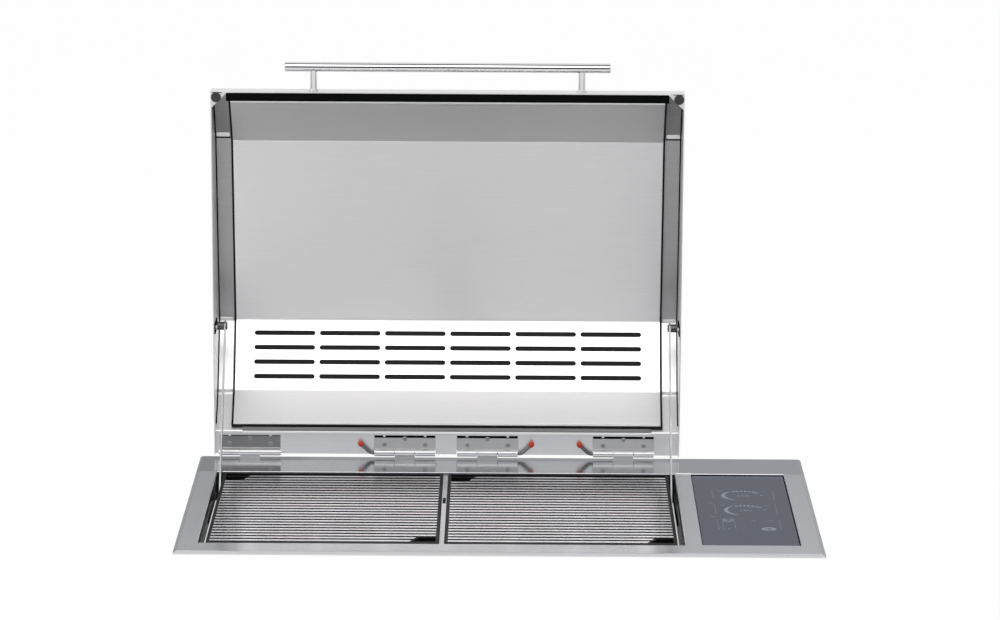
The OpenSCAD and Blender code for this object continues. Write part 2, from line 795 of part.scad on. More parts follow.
module relays()
    color("black") for (i = [0:relay_count - 1])
        translate([gland_x - relay_size[0] / 2, power_y0 + relay_setback + i * relay_pitch, board_z + board_t])
            cube(relay_size);

module terminal_block()
    color("darkslategray") difference() {
        translate([gland_x - block_size[0] / 2, power_y0 + power_l - block_setback, board_z + board_t])
            cube(block_size);
        for (i = [0:4])
            translate([gland_x + (i - 2) * terminal_pitch, power_y0 + power_l - block_setback + block_size[1] / 2,
                       board_z + board_t + terminal_floor])
                cylinder(h = block_size[2], r = terminal_r);
    }

module cable_gland()
    color("black") translate([gland_x, gland_y, housing_foot - cover_t]) difference() {
        union() {
            translate([0, 0, -gland_head_l]) cylinder(h = gland_head_l, r = gland_head_r, $fn = 6);
            cylinder(h = gland_thread_l, r = gland_thread_r);
        }
        translate([0, 0, -gland_head_l - cut])
            cylinder(h = gland_head_l + gland_thread_l + 2 * cut, d = gland_bore);
    }

module gland_nut()
    color("black") translate([gland_x, gland_y, housing_foot]) difference() {
        cylinder(h = gland_nut_t, r = gland_head_r, $fn = 6);
        translate([0, 0, -cut]) cylinder(h = gland_nut_t + 2 * cut, r = gland_thread_r + layer_clear);
    }

// The plate's knuckles: the middle one of each hinge, on a foot
module base_hinge_knuckles()
    color("silver") for (x = hinge_x)
        translate([lid_x + x - knuckle_w / 2, hinge_y, hinge_z]) difference() {
            union() {
                rod_x(0, knuckle_w, barrel_d / 2);
                translate([0, -foot_front, -hinge_rise]) cube([knuckle_w, foot_front + foot_rear, hinge_rise]);
            }
            rod_x(-cut, knuckle_w + 2 * cut, bore_r);
        }

// Places of the hinges and of their screws, in the lid's frame
module at_hinges() for (x = hinge_x) translate([x, 0, 0]) children();
module at_hinge_screws()
    at_hinges() for (p = hinge_screw_at) translate([p[0], -p[1], flange_under + lid_t]) children();
module at_handle_posts()
    for (s = [-1, 1]) translate([s * post_pitch / 2, -rim_u, handle_rise]) rotate([90, 0, 0]) children();

// The outer skin: lip, front slope, roof, rear slopes and hinge flange, bent from one sheet
// Room in the lid's flange for both heads of the plain hinge pin
module pin_head_notch() {
    notch_w = hinge_w + 2 * (pin_head_t + layer_clear);
    notch_u = pin_head_r + layer_clear;
    translate([hinge_x[0] - notch_w / 2, -notch_u, flange_under - cut])
        cube([notch_w, notch_u - flange_rear_u + cut, lid_t + 2 * cut]);
}

module lid_shell()
    color("silver") on_lid() difference() {
        across_lid(lid_w - 2 * lid_t) polygon(sheet(shell_path, 0, lid_t));
        at_hinges() translate([-hinge_w / 2 - window_side, -leaf_window_u, flange_under - cut])
            cube([hinge_w + 2 * window_side, leaf_window_u - flange_rear_u + cut, lid_t + 2 * cut]);
        pin_head_notch();
        at_handle_posts() translate([0, 0, -lid_t - cut])
            cylinder(h = lid_t + 2 * cut, r = handle_screw_r + screw_clear);
    }

module lid_side(s)
    color("silver") on_lid() translate([s * (lid_w - lid_t) / 2, 0, 0]) across_lid(lid_t) polygon(side_outline);

module lid_left_side() lid_side(-1);
module lid_right_side() lid_side(1);

// Vent slots through the steep panel at the rear of the liner
module vent_slots() {
    fall = liner_line[3] - liner_line[2];
    columns_w = slot_columns * slot_l + (slot_columns - 1) * slot_gap;
    for (row = [0:slot_rows - 1], column = [0:slot_columns - 1]) {
        place = liner_line[2] + unit(fall) * (slot_first + row * slot_row_pitch);
        translate([(slot_l + slot_gap) * column - columns_w / 2 + slot_h / 2, -place[0], place[1]])
            rotate([atan2(fall[1], -fall[0]), 0, 0])
                translate([0, 0, -cut]) linear_extrude(liner_t + 2 * cut) round_bar(slot_l - slot_h, slot_h);
    }
}

module lid_liner()
    color("gainsboro") on_lid() difference() {
        across_lid(liner_w) polygon(sheet(liner_path, 0, liner_t));
        vent_slots();
    }

module lid_mat()
    color("black") on_lid() across_lid(mat_w)
        polygon(sheet(liner_path, liner_t + layer_clear, liner_t + layer_clear + mat_t));

// The soft strip behind the front lip
module lid_seal()
    color("black") on_lid()
        translate([seal_inset - lid_w / 2, lid_t - rim_u, seal_rise])
            cube([lid_w - 2 * seal_inset, seal_w, seal_t]);

module at_front_corners()
    for (s = [0, 1]) mirror([s, 0, 0]) translate([-lid_w / 2, -rim_u, 0]) children();

module lid_corner_gussets()
    color("silver") on_lid() at_front_corners() translate([lid_t, lid_t, 0]) linear_extrude(gusset_t)
        polygon([[0, 0], [gusset_leg, 0], [0, gusset_leg]]);

module lid_bumpers()
    color("black") on_lid() at_front_corners() translate([bumper_inset, bumper_inset, -bumper_h])
        cylinder(h = bumper_h, d = bumper_d);

// The bar lies along the front lip; its ends are lightly chamfered
module bar_solid(d)
    translate([-handle_l / 2, -rim_u - handle_reach, handle_rise]) rotate([0, 90, 0])
        rotate_extrude() polygon([[0, 0], [d / 2 - bar_chamfer, 0], [d / 2, bar_chamfer],
            [d / 2, handle_l - bar_chamfer], [d / 2 - bar_chamfer, handle_l], [0, handle_l]]);

module handle_bar() color("silver") on_lid() bar_solid(handle_d);

module handle_posts()
    color("silver") on_lid() difference() {
        at_handle_posts() difference() {
            union() {
                cylinder(h = handle_reach, d = post_d);
                cylinder(h = post_collar_t, d = post_collar_d);
            }
            translate([0, 0, -cut]) cylinder(h = handle_screw_depth + cut, r = handle_screw_r + screw_clear);
        }
        bar_solid(handle_d);
    }

module handle_screws()
    color("gray") on_lid() at_handle_posts() {
        translate([0, 0, -lid_t]) cylinder(h = handle_screw_depth, r = handle_screw_r);
        translate([0, 0, -lid_t - handle_screw_head_t]) cylinder(h = handle_screw_head_t, r = handle_screw_head_r);
    }

// The lid's half of each hinge: a leaf behind the flange's window and the two outer knuckles
module lid_hinge_leaves()
    color("darkgray") on_lid() at_hinges() difference() {
        union() {
            translate([-hinge_w / 2, -leaf_u, flange_under + lid_t]) cube([hinge_w, leaf_u, leaf_t]);
            translate([-hinge_w / 2 - leaf_wing, -leaf_u, flange_under + lid_t])
                cube([hinge_w + 2 * leaf_wing, leaf_u - wing_foot_u, leaf_t]);
            for (s = [0, 1]) mirror([s, 0, 0])
                translate([0, 0, axis_w]) rod_x(-hinge_w / 2, knuckle_w, barrel_d / 2);
        }
        translate([-knuckle_w / 2 - move_clear, -leaf_notch_u, 0])
            cube([knuckle_w + 2 * move_clear, leaf_notch_u + barrel_d, flange_under + lid_t + leaf_t + cut]);
        translate([0, 0, axis_w]) rod_x(-hinge_w / 2 - cut, hinge_w + 2 * cut, bore_r);
        for (p = hinge_screw_at) translate([p[0], -p[1], flange_under])
            cylinder(h = lid_t + leaf_t + cut, r = hinge_screw_r + screw_clear);
    }

module hinge_screws()
    color("gainsboro") on_lid() at_hinge_screws() {
        cylinder(h = leaf_t, r = hinge_screw_r);
        translate([0, 0, -hinge_screw_head_t]) cylinder(h = hinge_screw_head_t, r = hinge_screw_head_r);
        translate([0, 0, leaf_t]) cylinder(h = hinge_nut_t, r = hinge_nut_r, $fn = 6);
    }

module plain_hinge_pin()
    color("silver") on_lid() translate([hinge_x[0], 0, axis_w]) {
        rod_x(-hinge_w / 2, hinge_w, pin_d / 2);
        rod_x(-hinge_w / 2 - pin_head_t, pin_head_t, pin_head_r);
        rod_x(hinge_w / 2, pin_head_t, pin_head_r);
    }

// A pull-out pin that leaves its hinge at the left and bends up along the lid
module bent_pin() {
    rod_x(-hinge_w / 2 - pin_stub, hinge_w + pin_stub, pin_d / 2);
    translate([-hinge_w / 2 - pin_stub, 0, 0]) {
        translate([0, -pin_bend_r, 0]) rotate([0, 0, 90]) rotate_extrude(angle = pin_bend)
            translate([pin_bend_r, 0]) circle(d = pin_d);
        after_bend() rotate([-90, 0, 0]) cylinder(h = pin_tail, d = pin_d);
        for (end = [0, 1]) pin_core(end);
    }
}

// A core inside the pin where its bend meets a straight run
module pin_core(end) {
    if (end == 0) sphere(d = pin_d / 2);
    else after_bend() sphere(d = pin_d / 2);
}

// The end of the pin's bend, with +Y along its tail
module after_bend()
    translate([-pin_bend_r * sin(pin_bend), pin_bend_r * (cos(pin_bend) - 1), 0])
        rotate([0, 0, 90 + pin_bend]) children();

module pin_cap()
    translate([-hinge_w / 2 - pin_stub, 0, 0]) after_bend() translate([0, pin_tail + cap_wall - cap_l, 0])
        rotate([-90, 0, 0]) difference() {
            union() {
                cylinder(h = cap_l - cap_r, r = cap_r);
                translate([0, 0, cap_l - cap_r]) sphere(r = cap_r);
            }
            translate([0, 0, -cut]) cylinder(h = cap_l - cap_wall + cut, r = pin_d / 2 + layer_clear);
        }

// A pull-out pin's place, its tail tilted clear of the flange; side 1 turns its bent end to the right
module at_pin(i, side)
    on_lid() translate([hinge_x[i], 0, axis_w]) rotate([pin_tilt, 0, 0]) mirror([side, 0, 0]) children();

module bent_pin_left() color("silver") at_pin(1, 0) bent_pin();
module pin_cap_left() color("orangered") at_pin(1, 0) pin_cap();
module bent_pin_middle() color("silver") at_pin(2, 1) bent_pin();
module pin_cap_middle() color("orangered") at_pin(2, 1) pin_cap();
module bent_pin_right() color("silver") at_pin(3, 0) bent_pin();
module pin_cap_right() color("orangered") at_pin(3, 0) pin_cap();

// A stepped stud on the side of the lid: collar, pivot and head
module stay_stud() {
    side_x = lid_t - lid_w / 2;
    head_x = arm_x + stay_t + move_clear;
    translate([0, -stay_run, stay_rise]) {
        rod_x(side_x, arm_x - move_clear - side_x, stud_collar_r);
        rod_x(side_x, head_x - side_x, stud_r);
        rod_x(head_x, stud_head_t, stud_head_r);
    }
}

module stay_studs()
    color("silver") on_lid() {
        stay_stud();
        mirror([1, 0, 0]) stay_stud();
    }

// Children drawn from the stay's pivot, with +Y along the arm
module along_stay()
    translate([0, stay_top_open[0], stay_top_open[1]]) rotate([stay_slope_open, 0, 0]) children();

module stay_arm()
    color("gainsboro") along_stay() difference() {
        translate([arm_x, 0, 0]) along_x(stay_t) round_bar(stay_l, stay_w);
        rod_x(arm_x - cut, stay_t + 2 * cut, stud_r + run_clear);
        translate([0, stay_l, 0]) rod_x(arm_x - cut, stay_t + 2 * cut, rivet_r + run_clear);
    }

module stay_roller()
    color("white") along_stay() translate([0, stay_l, 0]) {
        rod_x(wall_x + move_clear, arm_x - wall_x - move_clear, roller_d / 2);
        rod_x(arm_x, stay_t, rivet_r);
        rod_x(arm_x + stay_t, rivet_head_t, rivet_head_r);
    }

module left_stay_arm() on_left() stay_arm();
module left_stay_roller() on_left() stay_roller();
module right_stay_arm() on_right() stay_arm();
module right_stay_roller() on_right() stay_roller();

// A black cast frame: side bars, a front bar, a lowered rear land, two cross bars and two finger grips
module grate_frame(side) {
    length = grate_y1 - grate_y0;
    land_y = length - grate_land;
    land_z = grate_h - land_drop;
    top_z = grate_h + cut;
    color("dimgray") translate([grate_x[side], grate_y0, grate_foot]) {
        difference() {
            cube([grate_w, length, grate_h]);
            translate([grate_bar, 0, 0]) along_x(grate_w - 2 * grate_bar) polygon([
                [grate_front_bar, -cut], [grate_front_bar, top_z], [length - grate_bar / 2, top_z],
                [length - grate_bar / 2, land_z], [land_y, land_z], [land_y, -cut]]);
        }
        for (x = [0.3, 0.7]) translate([grate_w * x - grate_bar / 2, grate_front_bar - bite, bite])
            cube([grate_bar, rib_room + 2 * bite, grate_h - rib_h - bite]);
        at_front_grip() translate([0, 0, bite]) linear_extrude(grate_h - 2 * bite) grip_wall();
        at_rear_grip() translate([0, 0, bite]) linear_extrude(grate_h - 2 * bite) grip_wall();
    }
}

// Places a finger grip in a grate's right front or left rear corner
module at_front_grip() translate([grate_w - grate_bar, grate_front_bar, 0]) mirror([1, 0, 0]) children();
module at_rear_grip() translate([grate_bar, grate_front_bar + rib_room, 0]) mirror([0, 1, 0]) children();

// The wall around a finger grip, from the corner that it fills
module grip_wall()
    polygon([[grip_l, -bite], [grip_l + grip_t, -bite], [grip_l + grip_t - grip_slope, grip_d + grip_t],
             [-bite, grip_d + grip_t], [-bite, grip_d], [grip_l - grip_slope, grip_d]]);

// The room that a finger grip and its wall take from the ribs
module grip_room()
    translate([0, 0, -cut]) linear_extrude(grate_h + 2 * cut)
        polygon([[-bite, -bite], [grip_l + grip_t, -bite],
                 [grip_l + grip_t - grip_slope, grip_d + grip_t], [-bite, grip_d + grip_t]]);

module left_grate_frame() grate_frame(0);
module right_grate_frame() grate_frame(1);

// Flat-topped ribs across the frame, on its two cross bars, cut short at the finger grips
module grate_ribs(side)
    color("gainsboro") translate([grate_x[side], grate_y0, grate_foot]) {
        for (i = [grip_ribs:rib_count - grip_ribs - 1]) grate_rib(i);
        for (i = [0:grip_ribs - 1]) {
            difference() {
                grate_rib(i);
                at_front_grip() grip_room();
            }
            difference() {
                grate_rib(rib_count - 1 - i);
                at_rear_grip() grip_room();
            }
        }
    }

module grate_rib(i)
    translate([grate_bar, grate_front_bar + i * rib_pitch, grate_h - rib_h])
        along_x(grate_w - 2 * grate_bar)
            polygon([[0, 0], [rib_w, 0], [rib_w, rib_h - rib_edge], [rib_w - rib_edge, rib_h],
                     [rib_edge, rib_h], [0, rib_h - rib_edge]]);

module left_grate_ribs() grate_ribs(0);
module right_grate_ribs() grate_ribs(1);

top_plate();
seat_gasket();
tub();
tub_floor();
divider_bar();
grate_rails();
left_drip_tray();
right_drip_tray();
left_element();
right_element();
element_bars();
element_bushings();
temperature_probes();
left_guide_plate();
right_guide_plate();
guide_screws();
counter_clamps();
clamp_screws();
control_glass();
glass_gasket();
touch_board();
control_housing();
housing_cover();
housing_screws();
power_board();
board_posts();
relays();
terminal_block();
cable_gland();
gland_nut();
base_hinge_knuckles();
lid_shell();
lid_left_side();
lid_right_side();
lid_liner();
lid_mat();
lid_seal();
lid_corner_gussets();
lid_bumpers();
handle_bar();
handle_posts();
handle_screws();
lid_hinge_leaves();
hinge_screws();
plain_hinge_pin();
stay_studs();
left_stay_arm();
left_stay_roller();
right_stay_arm();
right_stay_roller();
left_grate_frame();
left_grate_ribs();
right_grate_frame();
right_grate_ribs();
bent_pin_left();
pin_cap_left();
bent_pin_middle();
pin_cap_middle();
bent_pin_right();
pin_cap_right();
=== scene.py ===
# %% [markdown]
# # Dressing a drop-in electric grill for its picture
#
# The grill's solids are finished: each piece of sheet, tube and casting already has its real size and
# place. This lesson gives them their looks. We load the solids, set up a small studio, give each metal,
# glass and rubber its own finish, and then model the small things that a solid leaves out, such as
# rounded sheet edges, the print on the glass, black strips of painted shade along the lid's corners and
# seams, and the polished handle.

# %% Load the solids
import json
import math

import bmesh
import bpy
from mathutils import Matrix, Vector


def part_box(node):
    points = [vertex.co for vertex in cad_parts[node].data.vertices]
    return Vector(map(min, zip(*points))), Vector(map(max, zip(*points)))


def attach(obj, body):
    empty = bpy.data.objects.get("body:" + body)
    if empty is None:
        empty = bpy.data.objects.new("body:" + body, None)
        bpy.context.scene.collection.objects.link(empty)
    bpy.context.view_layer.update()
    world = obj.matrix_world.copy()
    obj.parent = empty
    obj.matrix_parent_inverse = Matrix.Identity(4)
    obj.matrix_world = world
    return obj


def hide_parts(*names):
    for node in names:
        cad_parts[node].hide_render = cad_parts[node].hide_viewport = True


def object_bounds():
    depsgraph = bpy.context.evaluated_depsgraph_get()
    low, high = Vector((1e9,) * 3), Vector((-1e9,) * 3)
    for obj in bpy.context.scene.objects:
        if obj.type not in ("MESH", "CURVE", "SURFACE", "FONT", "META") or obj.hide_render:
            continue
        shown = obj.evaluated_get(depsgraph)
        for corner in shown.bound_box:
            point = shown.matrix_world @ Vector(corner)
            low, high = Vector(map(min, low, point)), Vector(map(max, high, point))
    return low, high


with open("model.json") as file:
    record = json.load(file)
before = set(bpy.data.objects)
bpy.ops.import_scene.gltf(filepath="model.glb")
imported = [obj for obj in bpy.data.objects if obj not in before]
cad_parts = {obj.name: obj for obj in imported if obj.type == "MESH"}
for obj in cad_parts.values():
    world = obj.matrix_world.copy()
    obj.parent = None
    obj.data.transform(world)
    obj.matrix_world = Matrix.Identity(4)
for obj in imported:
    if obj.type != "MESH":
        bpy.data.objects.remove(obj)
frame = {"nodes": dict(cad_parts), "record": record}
solids = frame["nodes"]
solid_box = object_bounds()
scene = bpy.context.scene
scene.view_settings.view_transform = "Standard"
mm = 0.001
corners = [[round(v, 3) for v in corner] for corner in solid_box]
print(len(solids), "solids, from", corners[0], "to", corners[1])

# %% [markdown]
# ## The camera
#
# The picture was taken from far away with a long lens, a little above the counter: the lid's sides hardly
# converge. A 165 mm lens almost 6 m away gives the same flat perspective. Three turns aim it, one after
# the other: a hair to the left, 11 degrees down, and a third of a degree of roll, which the picture has
# too.

# %% Place the camera
lens = bpy.data.cameras.new("studio_camera")
lens.lens = 165.6
lens.sensor_width = 36
lens.clip_end = 60
camera = bpy.data.objects.new("studio_camera", lens)
scene.collection.objects.link(camera)
camera.matrix_world = (
    Matrix.Translation((0.0084, -5.7223, 1.3813))
    @ Matrix.Rotation(math.radians(0.097), 4, "Z")
    @ Matrix.Rotation(math.radians(90 - 11.126), 4, "X")
    @ Matrix.Rotation(math.radians(0.315), 4, "Z")
)
scene.camera = camera
print("camera at", [round(v, 2) for v in camera.matrix_world.translation])

# %% [markdown]
# ## Three small helpers
#
# Colours are easiest to pick as sRGB hex values, but shaders count in linear light, so one function
# converts them. Another starts a material with no nodes in it. The third adds a node: it takes the node's
# own settings, and for each socket either a value or the output that feeds it. Every finish below is
# written with these.


# %% Colour and node helpers
def linear(hex_colour):
    """An sRGB hex colour as the linear RGBA that shader sockets take."""
    values = [int(hex_colour[i : i + 2], 16) / 255 for i in (1, 3, 5)]
    return [v / 12.92 if v <= 0.04045 else ((v + 0.055) / 1.055) ** 2.4 for v in values] + [1.0]


def blank_finish(name):
    """A new material with an empty node tree."""
    finish = bpy.data.materials.new(name)
    finish.use_nodes = True
    finish.node_tree.nodes.clear()
    return finish


def add(owner, kind, sockets={}, **settings):
    """Adds a node to a material or world; a socket takes a value or another node's output."""
    tree = owner.node_tree
    node = tree.nodes.new(kind)
    for name, value in settings.items():
        setattr(node, name, value)
    for name, value in sockets.items():
        if isinstance(value, bpy.types.NodeSocket):
            tree.links.new(value, node.inputs[name])
        else:
            node.inputs[name].default_value = value
    return node


print("steel grey", [round(v, 3) for v in linear("#c4c5c7")])

# %% [markdown]
# ## The studio
#
# Steel has no look of its own: it shows what is around it. A real studio hangs one soft box above and in
# front of the object, and everything else is white paper. The world plays the paper: white for what the
# camera, the metal and the glass see, and a softer white for the light that it sheds on matt things. The
# counter is a sheet with a cut-out, because the grill hangs in it by its flange. It is nearly white by
# itself, so that only a breath of shadow is left around the flange. From below, it can be looked through.

# %% World and counter
def looking_rays(owner):
    """The share of rays that look, from the camera or by way of metal and glass."""
    path = add(owner, "ShaderNodeLightPath")
    seen = add(owner, "ShaderNodeMath", {0: path.outputs["Is Camera Ray"], 1: path.outputs["Is Glossy Ray"]})
    through = {0: seen.outputs[0], 1: path.outputs["Is Transmission Ray"]}
    return add(owner, "ShaderNodeMath", through, use_clamp=True).outputs[0]


def rectangle(bm, x0, y0, x1, y1, z):
    """The corners of a flat rectangle, in order."""
    return [bm.verts.new((x, y, z)) for x, y in ((x0, y0), (x1, y0), (x1, y1), (x0, y1))]


world = bpy.data.worlds.new("white_paper")
scene.world = world
world.use_nodes = True
world.node_tree.nodes.clear()
shed = add(world, "ShaderNodeBackground", {"Color": linear("#fbfcff"), "Strength": 0.62})
paper = add(world, "ShaderNodeBackground", {"Color": (1, 1, 1, 1), "Strength": 1.0})
both = add(world, "ShaderNodeMixShader", {0: looking_rays(world), 1: shed.outputs[0], 2: paper.outputs[0]})
add(world, "ShaderNodeOutputWorld", {"Surface": both.outputs[0]})

counter_finish = blank_finish("white_counter")
looking = looking_rays(counter_finish)
share = add(counter_finish, "ShaderNodeMath", {0: looking, 1: 0.97}, operation="MULTIPLY")
paint = add(counter_finish, "ShaderNodeBsdfDiffuse", {"Color": linear("#f4f4f4")})
glow = add(counter_finish, "ShaderNodeEmission", {"Color": (1, 1, 1, 1), "Strength": 1.0})
painted = {0: share.outputs[0], 1: paint.outputs[0], 2: glow.outputs[0]}
top = add(counter_finish, "ShaderNodeMixShader", painted)
clear = add(counter_finish, "ShaderNodeBsdfTransparent")
side = add(counter_finish, "ShaderNodeNewGeometry")
one_sided = {0: side.outputs["Backfacing"], 1: top.outputs[0], 2: clear.outputs[0]}
sheet = add(counter_finish, "ShaderNodeMixShader", one_sided)
add(counter_finish, "ShaderNodeOutputMaterial", {"Surface": sheet.outputs[0]})

counter_reach, counter_z = 30, -0.3 * mm
counter_rim = (-counter_reach, -counter_reach, counter_reach, counter_reach)
cut_out = (-385 * mm, -236 * mm, 385 * mm, 190 * mm)
bm = bmesh.new()
edges = []
for outline in (counter_rim, cut_out):
    corners = rectangle(bm, *outline, counter_z)
    edges += [bm.edges.new((corners[i - 1], corners[i])) for i in range(4)]
bmesh.ops.bridge_loops(bm, edges=edges)
bmesh.ops.recalc_face_normals(bm, faces=bm.faces)
if bm.faces[:][0].normal.z < 0:
    bmesh.ops.reverse_faces(bm, faces=bm.faces)
counter_mesh = bpy.data.meshes.new("counter")
bm.to_mesh(counter_mesh)
bm.free()
counter_mesh.materials.append(counter_finish)
counter = bpy.data.objects.new("counter", counter_mesh)
scene.collection.objects.link(counter)
print("counter faces", len(counter_mesh.polygons))

# %% [markdown]
# ## Cards and lamps
#
# Metal in an all-white room has no edges. So a photographer hangs cards around it that only the metal can
# see: two grey ones far behind, which the plate and the glass mirror at their flat angle, a grey one
# overhead for the lid's lowest fold, and one on the counter for the plate's front edge. Two small flags
# stand close to the handle, a black one over a white one: they draw the dark line along its middle. A dim
# one far in front keeps the hinges from glaring. All are stage, only glossy rays meet them, and no camera
# sees them. One soft box lights the whole, with a weak lamp at the left.

# %% Cards and lamps
cards = (
    # name, tone, width, height, centre, tilt
    ("grey_card_behind", "#aeafb2", 12.0, 1.4, (0.0, 4.5, 0.7), 90),
    ("darker_card_behind", "#9a9b9d", 5.4, 1.4, (-3.15, 4.45, 0.7), 90),
    ("black_flag_at_handle", "#101012", 0.46, 0.0116, (-0.0715, 0.1985, 0.5352), 90),
    ("white_flag_at_handle", "#ffffff", 0.46, 0.015, (-0.0715, 0.1985, 0.5219), 90),
    ("dim_card_in_front", "#404042", 0.9, 0.75, (-0.1, -3.0, 0.6), 90),
    ("grey_card_overhead", "#505052", 8.0, 1.5, (0.0, -0.35, 3.2), 0),
    ("grey_card_on_counter", "#b3b3b5", 6.0, 0.6, (0.0, -0.6, 0.002), 0),
)
for name, tone, width, height, centre, tilt in cards:
    card_finish = blank_finish(name)
    card_tone = add(card_finish, "ShaderNodeEmission", {"Color": linear(tone), "Strength": 1.0})
    add(card_finish, "ShaderNodeOutputMaterial", {"Surface": card_tone.outputs[0]})
    bm = bmesh.new()
    bmesh.ops.create_grid(bm, x_segments=1, y_segments=1, size=0.5)
    bmesh.ops.scale(bm, vec=(width, height, 1), verts=bm.verts)
    bmesh.ops.rotate(bm, cent=(0, 0, 0), matrix=Matrix.Rotation(math.radians(tilt), 3, "X"), verts=bm.verts)
    bmesh.ops.translate(bm, vec=centre, verts=bm.verts)
    card_mesh = bpy.data.meshes.new(name)
    bm.to_mesh(card_mesh)
    bm.free()
    card_mesh.materials.append(card_finish)
    card = bpy.data.objects.new(name, card_mesh)
    card.visible_camera = card.visible_diffuse = card.visible_transmission = card.visible_shadow = False
    scene.collection.objects.link(card)

lamps = (
    # name, place, aimed at, size, watts
    ("soft_box", (0.0, -1.94, 2.7), (0.0, 0.25, 0.1), (3.4, 2.1), 39),
    ("fill_left", (-2.6, -1.6, 1.2), (0.0, 0.0, 0.1), (1.2, 1.6), 10),
)
for name, place, target, size, power in lamps:
    lamp = bpy.data.lights.new(name, "AREA")
    lamp.shape = "RECTANGLE"
    lamp.size, lamp.size_y = size
    lamp.energy = power
    holder = bpy.data.objects.new(name, lamp)
    holder.location = place
    holder.rotation_euler = (Vector(target) - Vector(place)).to_track_quat("-Z", "Y").to_euler()
    scene.collection.objects.link(holder)
print(len(cards), "cards and", len(lamps), "lamps")

# %% [markdown]
# ## Brushed stainless sheet
#
# The plate and the lid are stainless sheet that a belt has brushed from side to side. The belt leaves
# fine scratches, so a highlight smears across the grain and stays crisp along it. The shader has
# anisotropy for that; it needs to know the grain's direction, and here that is X everywhere, also when
# the lid turns. A noise that is stretched 60 mm along X and about 1 mm across gives the streaks. The real
# scratches are ten times finer, but then they would be lost between the pixels.


# %% Brushed sheet
def brushed_sheet(name, dark, light, roughness, grain=1.1, spread=0.5, polished_from=None):
    """Stainless sheet with its grain along X; grain is the width of a streak in millimetres.

    Behind the line polished_from, in millimetres along Y, the sheet is buffed a little brighter."""
    mat = blank_finish(name)
    place = add(mat, "ShaderNodeTexCoord").outputs["Object"]
    along = (1 / (60 * mm), 1 / (grain * mm), 1 / (grain * mm))
    streak_place = add(mat, "ShaderNodeMapping", {"Vector": place, "Scale": along})
    streaks = add(
        mat,
        "ShaderNodeTexNoise",
        {"Vector": streak_place.outputs[0], "Scale": 1.0, "Detail": 3.0, "Roughness": 0.65},
    )
    clouds = add(mat, "ShaderNodeTexNoise", {"Vector": place, "Scale": 1 / (170 * mm), "Detail": 2.0})
    mixed = add(
        mat,
        "ShaderNodeMath",
        {0: clouds.outputs["Fac"], 1: 0.45, 2: streaks.outputs["Fac"]},
        operation="MULTIPLY_ADD",
    )
    tone = add(mat, "ShaderNodeMapRange", {"Value": mixed.outputs[0], "From Min": 0.4, "From Max": 1.05})
    colour = add(
        mat,
        "ShaderNodeMix",
        {"Factor": tone.outputs[0], "A": linear(dark), "B": linear(light)},
        data_type="RGBA",
    )
    dullness = add(
        mat,
        "ShaderNodeMapRange",
        {"Value": tone.outputs[0], "To Min": roughness + 0.02, "To Max": roughness - 0.02},
    )
    if polished_from is not None:
        depth = add(mat, "ShaderNodeSeparateXYZ", {"Vector": place})
        fade, polished = 4, 0.12
        line = {"From Min": (polished_from - fade) * mm, "From Max": polished_from * mm}
        ends = {"To Min": dullness.outputs[0], "To Max": polished}
        dullness = add(mat, "ShaderNodeMapRange", {"Value": depth.outputs["Y"], **line, **ends})
    scratches = add(
        mat, "ShaderNodeBump", {"Strength": 0.05, "Distance": 0.01 * mm, "Height": streaks.outputs["Fac"]}
    )
    grain_way = add(mat, "ShaderNodeCombineXYZ", {"X": 1.0, "Y": 0.0, "Z": 0.0})
    steel = add(
        mat,
        "ShaderNodeBsdfPrincipled",
        {
            "Base Color": colour.outputs["Result"],
            "Metallic": 1.0,
            "Roughness": dullness.outputs[0],
            "Anisotropic": spread,
            "Anisotropic Rotation": 0.25,
            "Normal": scratches.outputs[0],
            "Tangent": grain_way.outputs[0],
        },
    )
    add(mat, "ShaderNodeOutputMaterial", {"Surface": steel.outputs[0]})
    return mat


finishes = {
    "plate_steel": brushed_sheet("brushed_stainless_plate", "#bfc0c4", "#c8c9cd", 0.2, polished_from=172),
    "lid_steel": brushed_sheet("brushed_stainless_lid", "#dfdfe0", "#e9e9ea", 0.4, spread=0.3),
    "liner_steel": brushed_sheet("brushed_stainless_liner", "#ecebeb", "#f3f2f2", 0.33),
    "hinge_steel": brushed_sheet("rolled_stainless_hinge", "#c4c4c4", "#d0d0d0", 0.3),
}
print("brushed finishes:", ", ".join(m.name for m in finishes.values()))

# %% [markdown]
# ## Drawn, plated and blackened metal
#
# Four more metals share one recipe with other numbers: a drawn and polished bar, zinc plate with its
# faint mottling, the dull steel of the tub, and the sheath of a heating element that heat has turned
# grey-black. All need only a colour that wavers a little, and a roughness that wavers with it.


# %% Plain metals
def worked_metal(name, dark, light, roughness, patch, metallic=1.0, bump=0.0):
    """A metal whose colour and gloss waver over patches of a given size in millimetres."""
    mat = blank_finish(name)
    place = add(mat, "ShaderNodeTexCoord").outputs["Object"]
    patches = add(mat, "ShaderNodeTexNoise", {"Vector": place, "Scale": 1 / (patch * mm), "Detail": 4.0})
    tone = add(mat, "ShaderNodeMapRange", {"Value": patches.outputs["Fac"], "From Min": 0.3, "From Max": 0.7})
    colour = add(
        mat,
        "ShaderNodeMix",
        {"Factor": tone.outputs[0], "A": linear(dark), "B": linear(light)},
        data_type="RGBA",
    )
    dullness = add(
        mat,
        "ShaderNodeMapRange",
        {"Value": tone.outputs[0], "To Min": roughness * 1.15, "To Max": roughness * 0.9},
    )
    pits = add(
        mat, "ShaderNodeBump", {"Strength": bump, "Distance": 0.2 * mm, "Height": patches.outputs["Fac"]}
    )
    metal = add(
        mat,
        "ShaderNodeBsdfPrincipled",
        {
            "Base Color": colour.outputs["Result"],
            "Metallic": metallic,
            "Roughness": dullness.outputs[0],
            "Normal": pits.outputs[0],
        },
    )
    add(mat, "ShaderNodeOutputMaterial", {"Surface": metal.outputs[0]})
    return mat


